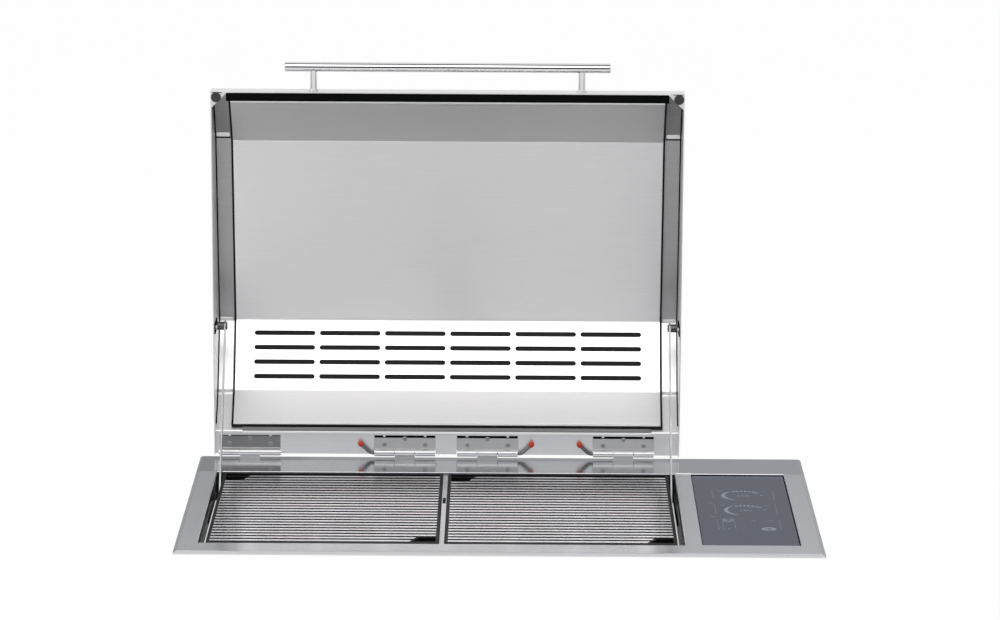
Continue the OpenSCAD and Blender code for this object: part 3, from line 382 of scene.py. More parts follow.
finishes["bright_steel"] = worked_metal("polished_stainless_bar", "#d4d4d5", "#dcdcdd", 0.05, 60)
finishes["zinc_steel"] = worked_metal("zinc_plated_steel", "#a9acb0", "#c3c5c8", 0.34, 5, bump=0.05)
finishes["tub_steel"] = worked_metal("pickled_stainless_tub", "#6f7072", "#85868a", 0.42, 40, bump=0.05)
finishes["heater_sheath"] = worked_metal("oxidised_heater_sheath", "#2c2b2b", "#423f3d", 0.55, 6, 0.6, 0.1)
print("plain metals added,", len(finishes), "finishes so far")

# %% [markdown]
# ## Enamel, glass, rubber and plastics
#
# These are dielectrics: a coloured body under a clear, slightly glossy skin. The grate's frame is a
# casting under black enamel, whose skin is a little wavy. The panel is glass, painted from behind in a
# dark blue-grey. Rubber and moulded plastic have a fine eroded grain. The caps are dipped in red vinyl.


# %% Non-metals
def moulded(name, dark, light, roughness, grain, bump, ior=1.5, coat=0.0, shine=0.5):
    """A non-metal with a fine grain of a given size in millimetres, in its colour and its bump."""
    mat = blank_finish(name)
    place = add(mat, "ShaderNodeTexCoord").outputs["Object"]
    speck = add(mat, "ShaderNodeTexNoise", {"Vector": place, "Scale": 1 / (grain * mm), "Detail": 3.0})
    colour = add(
        mat,
        "ShaderNodeMix",
        {"Factor": speck.outputs["Fac"], "A": linear(dark), "B": linear(light)},
        data_type="RGBA",
    )
    skin = add(
        mat, "ShaderNodeBump", {"Strength": bump, "Distance": 0.15 * mm, "Height": speck.outputs["Fac"]}
    )
    body = add(
        mat,
        "ShaderNodeBsdfPrincipled",
        {
            "Base Color": colour.outputs["Result"],
            "Roughness": roughness,
            "IOR": ior,
            "Specular IOR Level": shine,
            "Coat Weight": coat,
            "Normal": skin.outputs[0],
        },
    )
    add(mat, "ShaderNodeOutputMaterial", {"Surface": body.outputs[0]})
    return mat


finishes["grate_black"] = moulded("black_enamelled_casting", "#0d0d0d", "#171717", 0.4, 2.2, 0.2, shine=0.03)
finishes["panel_glass"] = moulded("back_painted_glass", "#252f43", "#2a344a", 0.06, 60, 0.0)
# Black rubber and plain black; the same finish also paints shade in gaps, slots, seams and corners.
finishes["black_rubber"] = moulded("plain_black_and_painted_shade", "#060707", "#0c0d0d", 0.75, 0.8, 0.2, shine=0.04)
finishes["black_mat"] = moulded("black_needled_fibre", "#0a0a0a", "#161616", 0.9, 1.5, 0.8)
finishes["red_cap"] = moulded("dipped_red_vinyl", "#b42c12", "#c63b1d", 0.42, 3.0, 0.1, ior=1.4)
finishes["white_ceramic"] = moulded("unglazed_white_ceramic", "#ddd8cc", "#e8e4da", 0.75, 0.6, 0.25)
finishes["white_nylon"] = moulded("moulded_white_nylon", "#dcdbd6", "#e6e5e0", 0.42, 1.5, 0.06)
finishes["green_board"] = moulded("green_solder_mask", "#11452a", "#185a38", 0.3, 4.0, 0.05, coat=0.3)
finishes["black_plastic"] = moulded("moulded_black_nylon", "#161616", "#222222", 0.5, 0.9, 0.15)
print(len(finishes), "finishes so far")

# %% [markdown]
# ## Ribs with ground tops
#
# The grate's ribs are cast with their frame, and enamelled black with it. Then their tops are ground
# bright. Both finishes are on one solid, so one material holds two shaders, and the height picks one of
# them: the last fifth of a millimetre is ground steel, below it is enamel. The height is read in Object
# coordinates, so the border stays where it is when a grate is lifted out.

# %% Two-tone ribs
rib_finish = blank_finish("ground_rib_tops")
rib_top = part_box("left_grate_ribs")[1][2]
rib_place = add(rib_finish, "ShaderNodeTexCoord").outputs["Object"]
rib_height = add(rib_finish, "ShaderNodeSeparateXYZ", {"Vector": rib_place})
wander = add(rib_finish, "ShaderNodeTexNoise", {"Vector": rib_place, "Scale": 1 / (25 * mm), "Detail": 2.0})
edge_height = add(
    rib_finish,
    "ShaderNodeMath",
    {0: wander.outputs["Fac"], 1: 0.1 * mm, 2: rib_height.outputs["Z"]},
    operation="MULTIPLY_ADD",
)
ground = add(
    rib_finish,
    "ShaderNodeMapRange",
    {"Value": edge_height.outputs[0], "From Min": rib_top - 0.28 * mm, "From Max": rib_top - 0.12 * mm},
)
along_ribs = (1 / (40 * mm), 1 / (1.2 * mm), 1 / (1.2 * mm))
scratch_place = add(rib_finish, "ShaderNodeMapping", {"Vector": rib_place, "Scale": along_ribs}).outputs[0]
scratch = add(rib_finish, "ShaderNodeTexNoise", {"Vector": scratch_place, "Scale": 1.0, "Detail": 3.0})
bright = add(
    rib_finish,
    "ShaderNodeMix",
    {"Factor": scratch.outputs["Fac"], "A": linear("#ececed"), "B": linear("#f4f4f5")},
    data_type="RGBA",
)
metal = add(
    rib_finish,
    "ShaderNodeBsdfPrincipled",
    {"Base Color": bright.outputs["Result"], "Metallic": 1.0, "Roughness": 0.2},
)
enamel_tone = add(
    rib_finish,
    "ShaderNodeMix",
    {"Factor": wander.outputs["Fac"], "A": linear("#0a0a0a"), "B": linear("#141414")},
    data_type="RGBA",
)
enamel = add(
    rib_finish,
    "ShaderNodeBsdfPrincipled",
    {"Base Color": enamel_tone.outputs["Result"], "Roughness": 0.45, "Specular IOR Level": 0.2},
)
rib_skin = add(
    rib_finish, "ShaderNodeMixShader", {0: ground.outputs[0], 1: enamel.outputs[0], 2: metal.outputs[0]}
)
add(rib_finish, "ShaderNodeOutputMaterial", {"Surface": rib_skin.outputs[0]})
finishes["rib_metal"] = rib_finish
print("rib tops at", round(rib_top, 4))

# %% [markdown]
# ## Every solid gets its finish
#
# The record names a finish for each solid, and one loop hands them out. A few solids look different from
# the others that share their finish: the stays are duller, the pins and screws are worn, and the bumpers
# are grey. They get a finish of their own.

# %% Hand out the finishes
for row in frame["record"]["subparts"]:
    for place in solids[row["node"]].material_slots:
        place.material = finishes[row["material_slot"]]
stay_steel = worked_metal("dull_stay_steel", "#8c8c8d", "#9a9a9b", 0.35, 30)
grey_rubber = moulded("grey_bumper_rubber", "#2a2a2a", "#343434", 0.6, 0.8, 0.2)
dark_steel = worked_metal("blackened_guide_steel", "#343434", "#424242", 0.45, 12, bump=0.05)
pin_steel = worked_metal("ground_pin_steel", "#606061", "#6e6e6f", 0.22, 20)
screw_steel = worked_metal("worn_screw_steel", "#98989a", "#aaaaac", 0.3, 4)
stud_steel = worked_metal("blued_stud_steel", "#58585a", "#68686a", 0.35, 6)
own_finish = {
    "stay_studs": stud_steel,
    "bent_pin_left": pin_steel,
    "bent_pin_middle": pin_steel,
    "bent_pin_right": pin_steel,
    "hinge_screws": screw_steel,
    "left_stay_arm": stay_steel,
    "right_stay_arm": stay_steel,
    "left_guide_plate": dark_steel,
    "right_guide_plate": dark_steel,
    "lid_bumpers": grey_rubber,
}
for node, finish in own_finish.items():
    for place in solids[node].material_slots:
        place.material = finish

# %% [markdown]
# ## From solids to pieces
#
# The solids have knife edges, and a few things are missing on them. What follows are pieces of their own:
# each is drawn as a bmesh, becomes an object at the origin, and rides on the body that carries it. One
# helper does these last steps. The lid stands open at 86 degrees, so its pieces are drawn flat, in the
# closed lid's own frame (across, back, up), and one matrix stands them up.

# %% A helper for new pieces, and the lid's frame
open_angle = math.radians(86)
hinge_y, hinge_z = 253 * mm, 11.5 * mm
lid_middle = -71.5
axis_up = 5 * mm
c, s = math.cos(open_angle), math.sin(open_angle)
lid_frame = Matrix(
    (
        (1, 0, 0, lid_middle * mm),
        (0, c, s, hinge_y - axis_up * s),
        (0, -s, c, hinge_z - axis_up * c),
        (0, 0, 0, 1),
    )
)


def keep_piece(name, bm, body, slot, finish=None, smooth=False):
    """Turns a bmesh into a piece that rides on a body, with a finish from the list or one of its own."""
    mesh = bpy.data.meshes.new(name)
    for face in bm.faces:
        face.smooth = smooth
    bm.to_mesh(mesh)
    bm.free()
    mesh.materials.append(finish or finishes[slot])
    piece = bpy.data.objects.new(name, mesh)
    scene.collection.objects.link(piece)
    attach(piece, body)
    print(name, len(mesh.polygons), "faces, on", body)
    return piece


def solid_copy(node):
    """A solid's mesh as a bmesh with its corners merged and its flat faces whole again."""
    bm = bmesh.new()
    bm.from_mesh(solids[node].data)
    bmesh.ops.remove_doubles(bm, verts=bm.verts, dist=0.001 * mm)
    bmesh.ops.dissolve_limit(bm, angle_limit=math.radians(0.5), verts=bm.verts, edges=bm.edges)
    return bm


def sharp_edges(bm, keep):
    """The folded edges of a bmesh whose middle passes a test."""
    found = []
    for edge in bm.edges:
        middle = (edge.verts[0].co + edge.verts[1].co) / 2
        if edge.calc_face_angle(0) > math.radians(20) and keep(middle):
            found.append(edge)
    return found


def round_off(bm, geom, offset, segments, affect="EDGES", clamp=False):
    """Bevels edges or corners to a round, by an offset in millimetres."""
    bmesh.ops.bevel(
        bm,
        geom=geom,
        offset=offset * mm,
        segments=segments,
        profile=0.5,
        affect=affect,
        material=-1,
        clamp_overlap=clamp,
    )


def add_bar(bm, x0, x1, y0, y1, z0, z1):
    """A square bar between two corners, in millimetres."""
    made = bmesh.ops.create_cube(bm, size=1)["verts"]
    bmesh.ops.scale(bm, vec=((x1 - x0) * mm, (y1 - y0) * mm, (z1 - z0) * mm), verts=made)
    middle = ((x0 + x1) / 2 * mm, (y0 + y1) / 2 * mm, (z0 + z1) / 2 * mm)
    bmesh.ops.translate(bm, vec=middle, verts=made)


def lid_bars(name, rows, slot, finish=None, round_by=0.4, segments=2):
    """Bevelled bars on the lid.

    A row gives x, u (from the hinge) and w (depth), each low and high, in millimetres."""
    bm = bmesh.new()
    for x0, x1, u0, u1, w0, w1 in rows:
        add_bar(bm, x0, x1, -u1, -u0, w0, w1)
    round_off(bm, bm.edges[:], round_by, segments)
    bmesh.ops.transform(bm, matrix=lid_frame, verts=bm.verts)
    return keep_piece(name, bm, "lid", slot, finish)


def both_sides(x0, x1, *rest):
    """A row for each side of the lid, from one for its right half."""
    return [(x0, x1, *rest), (-x1, -x0, *rest)]


print("the lid's rim stands at z =", round((lid_frame @ Vector((0, -491.6 * mm, 0))).z, 4))

# %% [markdown]
# ## The plate's rolled edges
#
# The plate is pressed: the edges of its two openings and the ridge of its sloping border are rolled over,
# and that roll is the thin bright line in the picture. The plate's own solid is copied, its upper edges
# are bevelled with a few segments, and the copy takes its place. Its size stays what it was. The faces of
# its front slope are a second, brighter copy of the steel: painted light. A low pressed ridge of
# near-white steel carries the line on between the two openings, as a painted highlight.

# %% Plate with rolled edges
# Near-white steel that paints highlights on folds, ridges and edges.
fold_steel = brushed_sheet("painted_highlight_steel", "#f2f2f2", "#f9f9f9", 0.45)
edge_steel = brushed_sheet("painted_lit_plate_slope", "#d2d2d4", "#dadadc", 0.45)
plate_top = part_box("top_plate")[1][2]
bm = solid_copy("top_plate")
rolled = sharp_edges(bm, lambda p: abs(p.z - plate_top) < 0.01 * mm)
round_off(bm, rolled, 1.1, 4, clamp=True)
front_strip = -250 * mm
# The front slope's faces take the brighter copy of the steel: painted light.
for face in bm.faces:
    face.material_index = int(face.normal.y < -0.3 and face.calc_center_median().y < front_strip)
plate = keep_piece("rolled_plate", bm, "base", "plate_steel")
plate.data.materials.append(edge_steel)
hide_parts("top_plate")

bm = bmesh.new()
ridge_up = 0.85
add_bar(bm, 228.35, 250.85, 169.3, 171.1, plate_top / mm - ridge_up, plate_top / mm + ridge_up)
round_off(bm, bm.edges[:], 0.4, 3)
keep_piece("web_ridge", bm, "base", "plate_steel", fold_steel)

# %% [markdown]
# ## The touch glass
#
# The panel is a pane of 4 mm glass. Its edge is ground, so a thin line of light runs around it. As with
# the plate, a bevel on a copy of the solid is enough; two segments make the small ground chamfer.

# %% Ground pane
glass_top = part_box("control_glass")[1][2]
bm = solid_copy("control_glass")
ground_edge = sharp_edges(bm, lambda p: abs(p.z - glass_top) < 0.01 * mm)
round_off(bm, ground_edge, 0.8, 2)
pane = keep_piece("ground_pane", bm, "base", "panel_glass")
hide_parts("control_glass")

# %% [markdown]
# ## The lip around the glass
#
# A thin black lip fills the gap between the glass and the plate: painted shade of the gap. It is one face
# around the window, inset by its thickness and raised to just below the plate's rolled edge.

# %% Lip
low, high = (Vector(v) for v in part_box("control_glass"))
bm = bmesh.new()
reach, lip = 0.36 * mm, 1.8 * mm
lip_foot, lip_top = glass_top - 1 * mm, plate_top - 1.2 * mm
outline = (low.x - reach, low.y - reach, high.x + reach, high.y + reach)
window = bm.faces.new(rectangle(bm, *outline, lip_foot))
ring = bmesh.ops.inset_region(
    bm, faces=[window], thickness=lip, use_boundary=True, use_even_offset=True
)["faces"]
bmesh.ops.delete(bm, geom=[window], context="FACES_ONLY")
raised = bmesh.ops.extrude_face_region(bm, geom=ring, use_keep_orig=True)["geom"]
raised_verts = [v for v in raised if isinstance(v, bmesh.types.BMVert)]
bmesh.ops.translate(bm, vec=(0, 0, lip_top - lip_foot), verts=raised_verts)
bmesh.ops.recalc_face_normals(bm, faces=bm.faces)
# The black lip is painted shade in the gap around the glass.
keep_piece("glass_lip", bm, "base", "black_rubber")

# %% [markdown]
# ## The print on the glass
#
# The marks are a pale ceramic ink, fired onto the pane: two dials, three boxes with rounded corners, two
# keys and a few numbers. An arc is a short edge that is spun around the dial's centre. The thick part of
# a dial is such a band whose inner edge is then pushed inwards, most at its middle. A box is one face
# with rounded corners, inset by the width of its line. Everything lies flat and gets a twentieth of a
# millimetre of ink.

# %% Ink
ink = moulded("pale_fired_ink", "#757e92", "#7f889c", 0.3, 2.0, 0.0)
faint_ink = moulded("faint_fired_ink", "#4c5262", "#555b6b", 0.3, 2.0, 0.0)
ink_top = glass_top + 0.02 * mm
ink_line, ink_coat = 1.0 * mm, 0.05 * mm


def arc(bm, centre, radius, width, start, end, steps=12, belly=0.0):
    """A flat band around a centre, between two angles in degrees; belly thickens its middle inwards."""
    out = Matrix.Rotation(math.radians(start), 3, "Z") @ Vector((1, 0, 0))
    ends = [bm.verts.new(Vector(centre) + out * r * mm) for r in (radius - width, radius)]
    first = bm.edges.new(ends)
    sweep = math.radians(end - start)
    bmesh.ops.spin(bm, geom=[first], cent=centre, axis=(0, 0, 1), angle=sweep, steps=steps)
    for vert in bm.verts:
        arm = vert.co - Vector(centre)
        if abs(arm.length - (radius - width) * mm) > 1e-6:
            continue
        turn = (math.degrees(math.atan2(arm.y, arm.x)) - start) % 360
        share = math.sin(math.pi * min(1.0, turn / (end - start)))
        vert.co -= arm.normalized() * belly * mm * share


def box_outline(bm, x0, y0, x1, y1, corner):
    """The outline of a flat box with rounded corners, in millimetres."""
    corners = rectangle(bm, x0 * mm, y0 * mm, x1 * mm, y1 * mm, ink_top)
    bm.faces.new(corners)
    round_off(bm, corners, corner, 5, affect="VERTICES")
    face = [f for f in bm.faces if len(f.verts) > 8]
    bmesh.ops.inset_region(bm, faces=face, thickness=ink_line, use_boundary=True, use_even_offset=True)
    bmesh.ops.delete(bm, geom=face, context="FACES")


def printed(name, bm, finish):
    """Keeps flat marks as a piece of ink on the glass."""
    bmesh.ops.recalc_face_normals(bm, faces=bm.faces)
    bmesh.ops.reverse_faces(bm, faces=[f for f in bm.faces if f.normal.z < 0])
    marks = keep_piece(name, bm, "base", "panel_glass", finish)
    layer = marks.modifiers.new("ink", "SOLIDIFY")
    layer.thickness = ink_coat
    layer.offset = 1


bm = bmesh.new()
mark_step = 12.3
for dial_y in (56.7, -23.3):
    centre = (312.8 * mm, dial_y * mm, ink_top)
    arc(bm, centre, 27.5, 1.5, 124, 250, steps=24, belly=3.6)
    for i in range(7):
        arc(bm, centre, 28, 6.5, 112 - mark_step * i, 119.5 - mark_step * i, steps=2)
    arc(bm, centre, 26, 3.0, 2, 9, steps=2)
for x, y, r in ((288.2, -76.4, 8.0), (337.4, -122.5, 9.5)):
    arc(bm, (x * mm, y * mm, ink_top), r, r - 4.6, 0, 350, steps=28)
    arc(bm, (x * mm, y * mm, ink_top), 3.6, 1.1, 120, 420, steps=20)
printed("dial_marks", bm, ink)

boxes = (
    # name, left, front, right, back, corner
    ("upper_dial_box", 274, 30.5, 353.5, 89, 7),
    ("lower_dial_box", 274, -48, 353, 11.5, 7),
    ("key_box", 274, -131, 353, -69, 7),
    ("start_key_box", 280, -126.5, 296.5, -74.5, 4),
)
for name, *outline in boxes:
    bm = bmesh.new()
    box_outline(bm, *outline)
    printed(name, bm, faint_ink)

# %% [markdown]
# ## Numbers
#
# Small numbers stand inside the dials and at the boxes. Blender's own letters are outlines, so each text
# becomes a mesh first, and then moves to its place in the same bmesh.

# %% Numbers on the glass
numbers = (
    # text, height, x, y
    ("250", 8.0, 312.6, 55.5),
    ("180", 8.0, 312.6, -24.3),
    ("15", 5.0, 342.0, 82.0),
    ("30", 5.0, 284.0, 82.0),
    ("15", 5.0, 342.0, 4.0),
    ("30", 5.0, 284.0, 4.0),
    ("60", 5.0, 270.0, 17.0),
    ("90", 5.0, 270.0, -59.0),
    ("10", 5.0, 320.0, -77.0),
    ("20", 5.0, 342.0, -77.0),
    ("0", 5.0, 288.0, -120.0),
)
bm = bmesh.new()
for text, height, x, y in numbers:
    letters = bpy.data.curves.new("number", "FONT")
    letters.body = text
    letters.size = height * 1.4 * mm
    letters.align_x = letters.align_y = "CENTER"
    holder = bpy.data.objects.new("number", letters)
    outline = bpy.data.meshes.new_from_object(holder)
    outline.transform(Matrix.Translation((x * mm, y * mm, ink_top)))
    bm.from_mesh(outline)
    bpy.data.objects.remove(holder)
    bpy.data.meshes.remove(outline)
    bpy.data.curves.remove(letters)
printed("dial_numbers", bm, moulded("worn_fired_ink", "#767a88", "#808492", 0.3, 2.0, 0.0))

# %% [markdown]
# ## Channels along the lid's sides
#
# Beside the liner, a narrow channel of darker steel follows the lid's folds on each side, and catches
# light at each fold. It is one edge, as wide as the channel, extruded from fold to fold; the folds are
# then rounded with a bevel, and the sheet gets its thickness. Its lower half is a brighter copy of the
# same steel: painted light. A black bead runs in the corner outside it as painted shade of the corner
# gap, and at the front it ends under the corner plates.

# %% Side channels and corner shade beads
# Distance from the hinge, and depth, of each fold
fold_line = [(483.6, 25.6), (415.6, 70.0), (156.2, 106.8), (68.4, 54.6), (36.5, 16.5)]
channel_inner, channel_outer = 287.3, 307.6
channel_steel = brushed_sheet("darker_channel_steel", "#b2b1b1", "#bebdbd", 0.35)
bright_channel_steel = brushed_sheet("bright_channel_steel", "#e4e3e3", "#ecebeb", 0.35)
for side, name in ((-1, "left"), (1, "right")):
    bm = bmesh.new()
    u, w = fold_line[0]
    ends = [bm.verts.new((side * x * mm, -u * mm, w * mm)) for x in (channel_inner, channel_outer)]
    edge = bm.edges.new(ends)
    for (u0, w0), (u1, w1) in zip(fold_line, fold_line[1:]):
        grown = bmesh.ops.extrude_edge_only(bm, edges=[edge])["geom"]
        edge = [e for e in grown if isinstance(e, bmesh.types.BMEdge) and all(v in grown for v in e.verts)][0]
        bmesh.ops.translate(bm, vec=(0, (u0 - u1) * mm, (w1 - w0) * mm), verts=edge.verts)
    folds = [e for e in bm.edges if len(e.link_faces) == 2]
    round_off(bm, folds, 5, 4)
    bmesh.ops.recalc_face_normals(bm, faces=bm.faces)
    if sum(f.normal.z for f in bm.faces) > 0:
        bmesh.ops.reverse_faces(bm, faces=bm.faces)
    # The lower half takes the brighter copy of the steel: painted light.
    for face in bm.faces:
        face.material_index = int(face.calc_center_median().y > -fold_line[2][0] * mm)
    bmesh.ops.transform(bm, matrix=lid_frame, verts=bm.verts)
    channel = keep_piece(f"{name}_side_channel", bm, "lid", "lid_steel", channel_steel)
    channel.data.materials.append(bright_channel_steel)
    sheet_gauge = channel.modifiers.new("gauge", "SOLIDIFY")
    sheet_gauge.thickness = 0.6 * mm
    sheet_gauge.offset = -1

    # A black bead along the outer corner: painted shade of the corner gap.
    bead_line = bpy.data.curves.new("bead", "CURVE")
    bead_line.dimensions = "3D"
    bead_line.bevel_depth = 1.0 * mm
    bead_line.bevel_resolution = 2
    bead_line.use_fill_caps = True
    spline = bead_line.splines.new("POLY")
    spline.points.add(len(fold_line) - 1)
    for point, (u, w) in zip(spline.points, fold_line):
        bead_place = Vector((side * (channel_outer - 0.2) * mm, -u * mm, (w - 0.6) * mm))
        point.co = (*(lid_frame @ bead_place), 1)
    holder = bpy.data.objects.new("bead", bead_line)
    bm = bmesh.new()
    bead_mesh = bpy.data.meshes.new_from_object(holder)
    bm.from_mesh(bead_mesh)
    bpy.data.objects.remove(holder)
    bpy.data.meshes.remove(bead_mesh)
    keep_piece(f"{name}_corner_shade_bead", bm, "lid", "black_rubber", smooth=True)

# %% [markdown]
# ## Slot shade and tabs in the hinge windows
#
# Each hinge leaf shows through a window in the lid's flange. Above the leaf, the dark slot is painted
# shade: a shallow black strip on the leaf, into which two small bright tabs of the flange reach. The tabs
# are small bevelled blocks. Below the leaf, a narrow bridge closes the notch of the middle knuckle.
# The first leaf gets a thin, darker face of its own.

# %% Hinge windows
hinge_places = (-262, -56, 54, 235)
first_leaf = (-302, -222)
# Black strips on the leaves, under the window tops: painted shade of the slots.
slots = [(x - 40.3, x + 40.3, 19.8, 23.9, 8.55, 8.85) for x in hinge_places[1:]]
slots.append((*first_leaf, 21.2, 22.3, 8.55, 8.85))
lid_bars("leaf_slot_shade", slots, "black_rubber", round_by=0.1, segments=1)
tab_places = [x + reach for x in hinge_places for reach in (-27.2, 27.2)]
tabs = [(x - 1.6, x + 1.6, 21.3, 23.9, 7.55, 8.85) for x in tab_places]
lid_bars("flange_tabs", tabs, "lid_steel")

bridges = [(x - 13.4, x + 13.4, 3.5, 5.3, 8.9, 10.7) for x in hinge_places]
lid_bars("notch_bridges", bridges, "hinge_steel", round_by=0.2)
# A darker copy of the hinge steel, for the first leaf's face and the painted shade in the screw recesses.
tarnished = brushed_sheet("darker_leaf_and_recess_shade", "#8a8a8a", "#949494", 0.3)
leaf_face = [(*first_leaf, 5.6, 21.0, 8.68, 8.79)]
lid_bars("first_leaf_face", leaf_face, "hinge_steel", tarnished, round_by=0.03)

# %% [markdown]
# ## Folds and mounts along the lid's sides
#
# A rounded strip covers each fold of the channels; its near-white steel is a painted highlight. Below the
# uppermost one, a black bar is painted shade. The studs of the stays sit in blackened mounts on the side
# walls. A mount is a bevelled plate with two domed rivets, each a short cylinder whose rim is bevelled
# almost to its middle. Thin black bars along the corner plates are their painted shadow.

# %% Fold strips and stud mounts
strip_inner, strip_outer = 287.6, 306.4
strips = []
for u, w, half in ((419.6, 66.4, 3.0), (156.4, 105.4, 2.4), (70.4, 54.7, 2.5)):
    strips += both_sides(strip_inner, strip_outer, u - half, u + half, w - 0.9, w + 0.9)
# Rounded strips on the folds, in near-white steel: painted highlights.
lid_bars("fold_highlight_strips", strips, "lid_steel", fold_steel, round_by=0.8, segments=3)
# A black bar under the uppermost fold strip: painted shade.
gaps = both_sides(strip_inner, strip_outer, 413.9, 415.8, 68.9, 69.9)
lid_bars("fold_gap_shade", gaps, "black_rubber", round_by=0.2)
mounts = both_sides(306.3, 307.95, 161.4, 174.2, 7, 47)
lid_bars("stud_mounts", mounts, "zinc_steel", finishes["black_rubber"], round_by=0.7)

bm = bmesh.new()
rivet_x, rivet_radius, rivet_depth = 305.8, 3 * mm, 1.4 * mm
for side in (-1, 1):
    inwards = Matrix.Rotation(math.radians(-90 * side), 4, "Y")
    for u, w in ((169.6, 13), (166.0, 26)):
        bmesh.ops.create_cone(
            bm,
            cap_ends=True,
            segments=20,
            radius1=rivet_radius,
            radius2=rivet_radius,
            depth=rivet_depth,
            matrix=Matrix.Translation((side * rivet_x * mm, -u * mm, w * mm)) @ inwards,
        )
rims = sharp_edges(bm, lambda p: abs(p.x) < (rivet_x - 0.5) * mm)
round_off(bm, rims, 1.1, 4)
bmesh.ops.transform(bm, matrix=lid_frame, verts=bm.verts)
keep_piece("mount_rivets", bm, "lid", "zinc_steel", finishes["bright_steel"])
# Thin black bars along the corner plates: their painted shadow.
seams = both_sides(294, 307.6, 490.3, 491.2, -0.15, 0.4)
seams += both_sides(305.4, 307.6, 469.2, 470.2, -0.15, 0.4)
lid_bars("gusset_shadow_lines", seams, "black_rubber", round_by=0.1)

# %% [markdown]
# ## Screws in the hinges
#
# The hinge screws have low domed heads with a cross recess. The solids' heads are plain discs, so their
# outer rims are bevelled on a copy that takes the node's place. The recess is not cut; its shade is
# painted as a cross of two thin darker bars.

# %% Domed screws
bm = solid_copy("hinge_screws")
upright = lid_frame.inverted()
rims = sharp_edges(bm, lambda p: (upright @ p).z < 8.0 * mm)
round_off(bm, rims, 0.75, 4)
screws = keep_piece("domed_hinge_screws", bm, "lid", "bright_steel", screw_steel)
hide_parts("hinge_screws")
recesses = []
for x in hinge_places:
    for dx, u in ((0, 18.5), (-27, 10.5), (27, 10.5)):
        for long, wide in ((1.5, 0.4), (0.4, 1.5)):
            recesses.append((x + dx - long, x + dx + long, u - wide, u + wide, 7.84, 8.1))
# Two crossed bars of darker steel on each head: painted shade of the recess.
lid_bars("recess_shade_crosses", recesses, "bright_steel", tarnished, round_by=0.05, segments=1)

# %% [markdown]
# ## Painted highlight strips beside the grates
#
# The guide of each stay is covered with blackened steel. In front the cover is whole, and further back it
# runs on as a ledge along the wall, so that the stay can pass. Between it and the grate, a strip lies on
# the cover's inner edge, and reaches as far back as the ledge; its near-white tone is a painted
# highlight. The stay moves in the slot between the two. A black block fills the gap in front as painted
# shade. All are bevelled bars.

# %% Highlight strips, shade blocks and ledges
def side_bars(name, near, far, front, back, low, high, finish):
    """A bevelled bar in each side gap, between two distances from the lid's middle, in millimetres."""
    bm = bmesh.new()
    for side in (-1, 1):
        ends = sorted(lid_middle + side * reach for reach in (near, far))
        add_bar(bm, *ends, front, back, low, high)
    round_off(bm, bm.edges[:], 0.4, 2)
    keep_piece(name, bm, "base", "zinc_steel", finish)


cover_top, guide_back = -2.0, 27
# A strip of near-white steel: a painted highlight on the cover's inner edge.
side_bars("highlight_strips", 292.1, 293.9, -203, guide_back, cover_top, -0.6, fold_steel)
# A black block in the front gap: painted shade.
side_bars("gap_shade_blocks", 292.0, 300.3, -216.8, -204, cover_top, -0.3, finishes["black_rubber"])
side_bars("guide_ledges", 297.3, 300.4, -100, guide_back, -3.2, cover_top, dark_steel)

# %% [markdown]
# ## Hems
#
# The liner's front and rear edges are folded over once, and so is the edge of the lid's flange. Each fold
# is a thin bright line in the picture: one under the black seal, one at the foot of the liner, and one
# along the hinges. That last hem is near-white steel, a painted highlight, and the two grey bars above it
# are painted shade.

# %% Hems
liner_hems = [(-284, 284, 475.6, 478.4, 8.0, 9.6), (-281, 281, 39.6, 41.6, 6.2, 7.8)]
lid_bars("liner_hems", liner_hems, "liner_steel", round_by=0.7, segments=3)
flange = (-272, 272)
flange_hem = [(*flange, 25.9, 29.0, 5.9, 7.5)]
lid_bars("flange_hem", flange_hem, "lid_steel", fold_steel, round_by=0.75, segments=4)
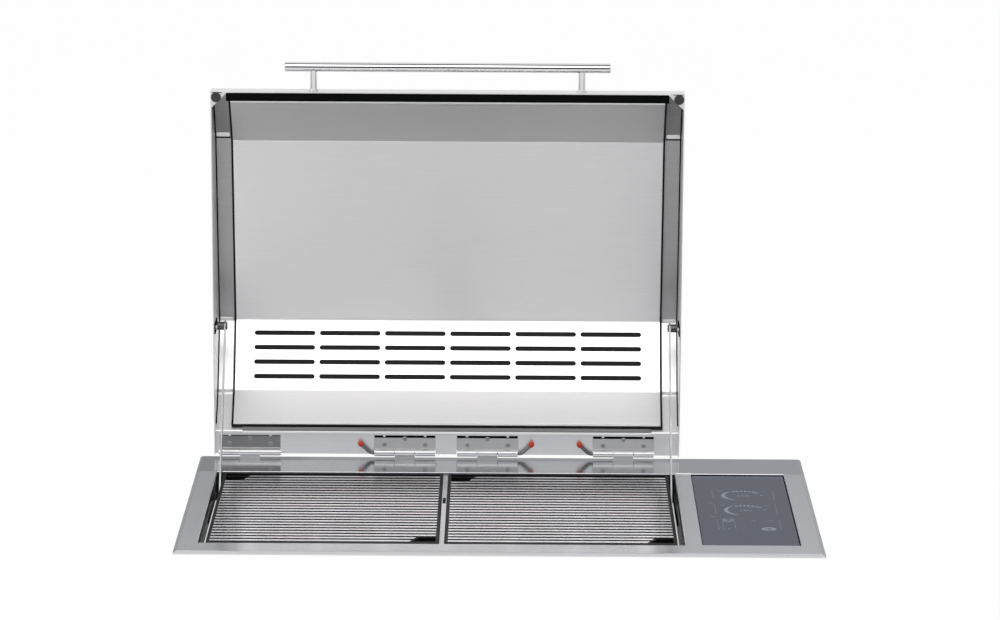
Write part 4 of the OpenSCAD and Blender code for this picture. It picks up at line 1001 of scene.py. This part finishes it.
# Grey bars above the flange hem: painted shade.
seam_steel = brushed_sheet("painted_fold_shade_steel", "#8f8e8d", "#a3a2a1", 0.4)
flange_seam = [(*flange, 29.6, 31.6, 6.6, 7.5), (*flange, 31.9, 34.2, 6.9, 7.5)]
lid_bars("flange_seam", flange_seam, "lid_steel", seam_steel, round_by=0.2)

# %% [markdown]
# ## The handle bar
#
# The handle is a drawn and polished bar of 12.7 mm with its ends broken by a file. A cylinder with 64
# sides is smooth enough to mirror the studio, and a bevel rounds its two rims.

# %% Polished bar
low, high = (Vector(v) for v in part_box("handle_bar"))
middle = (low + high) / 2
bar_radius, bar_length = (high.z - low.z) / 2, high.x - low.x
bm = bmesh.new()
bmesh.ops.create_cone(
    bm,
    cap_ends=True,
    segments=64,
    radius1=bar_radius,
    radius2=bar_radius,
    depth=bar_length,
    matrix=Matrix.Translation(middle) @ Matrix.Rotation(math.radians(90), 4, "Y"),
)
rims = sharp_edges(bm, lambda p: abs(abs(p.x - middle.x) - bar_length / 2) < 0.01 * mm)
round_off(bm, rims, 1.2, 4)
bar = keep_piece("polished_bar", bm, "lid", "bright_steel", smooth=True)
for face in bar.data.polygons:
    if abs(face.normal.x) > 0.999:
        face.use_smooth = False
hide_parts("handle_bar")

# %% [markdown]
# ## The red caps
#
# The caps on the bent pins are soft vinyl, and swell to a ball where they are pushed on. Each one is a
# sphere, stretched a little along its pin and leant over with it, with its tip about where the solid has
# it.

# %% Round caps
cap_radius, stretch, tip_shift = 3.6 * mm, 1.2, 0.6 * mm
for side, lean in (("left", -1), ("middle", 1), ("right", -1)):
    low, high = (Vector(v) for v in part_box(f"pin_cap_{side}"))
    bm = bmesh.new()
    bmesh.ops.create_uvsphere(bm, u_segments=28, v_segments=18, radius=cap_radius)
    bmesh.ops.scale(bm, vec=(1, 1, stretch), verts=bm.verts)
    tilt = Matrix.Rotation(lean * math.radians(45), 3, "Y")
    bmesh.ops.rotate(bm, cent=(0, 0, 0), matrix=tilt, verts=bm.verts)
    place = (low + high) / 2 + Vector((lean, 0, 1)) * tip_shift
    bmesh.ops.translate(bm, vec=place, verts=bm.verts)
    cap = keep_piece(f"round_cap_{side}", bm, f"{side}_pin", "red_cap", smooth=True)
    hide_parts(f"pin_cap_{side}")
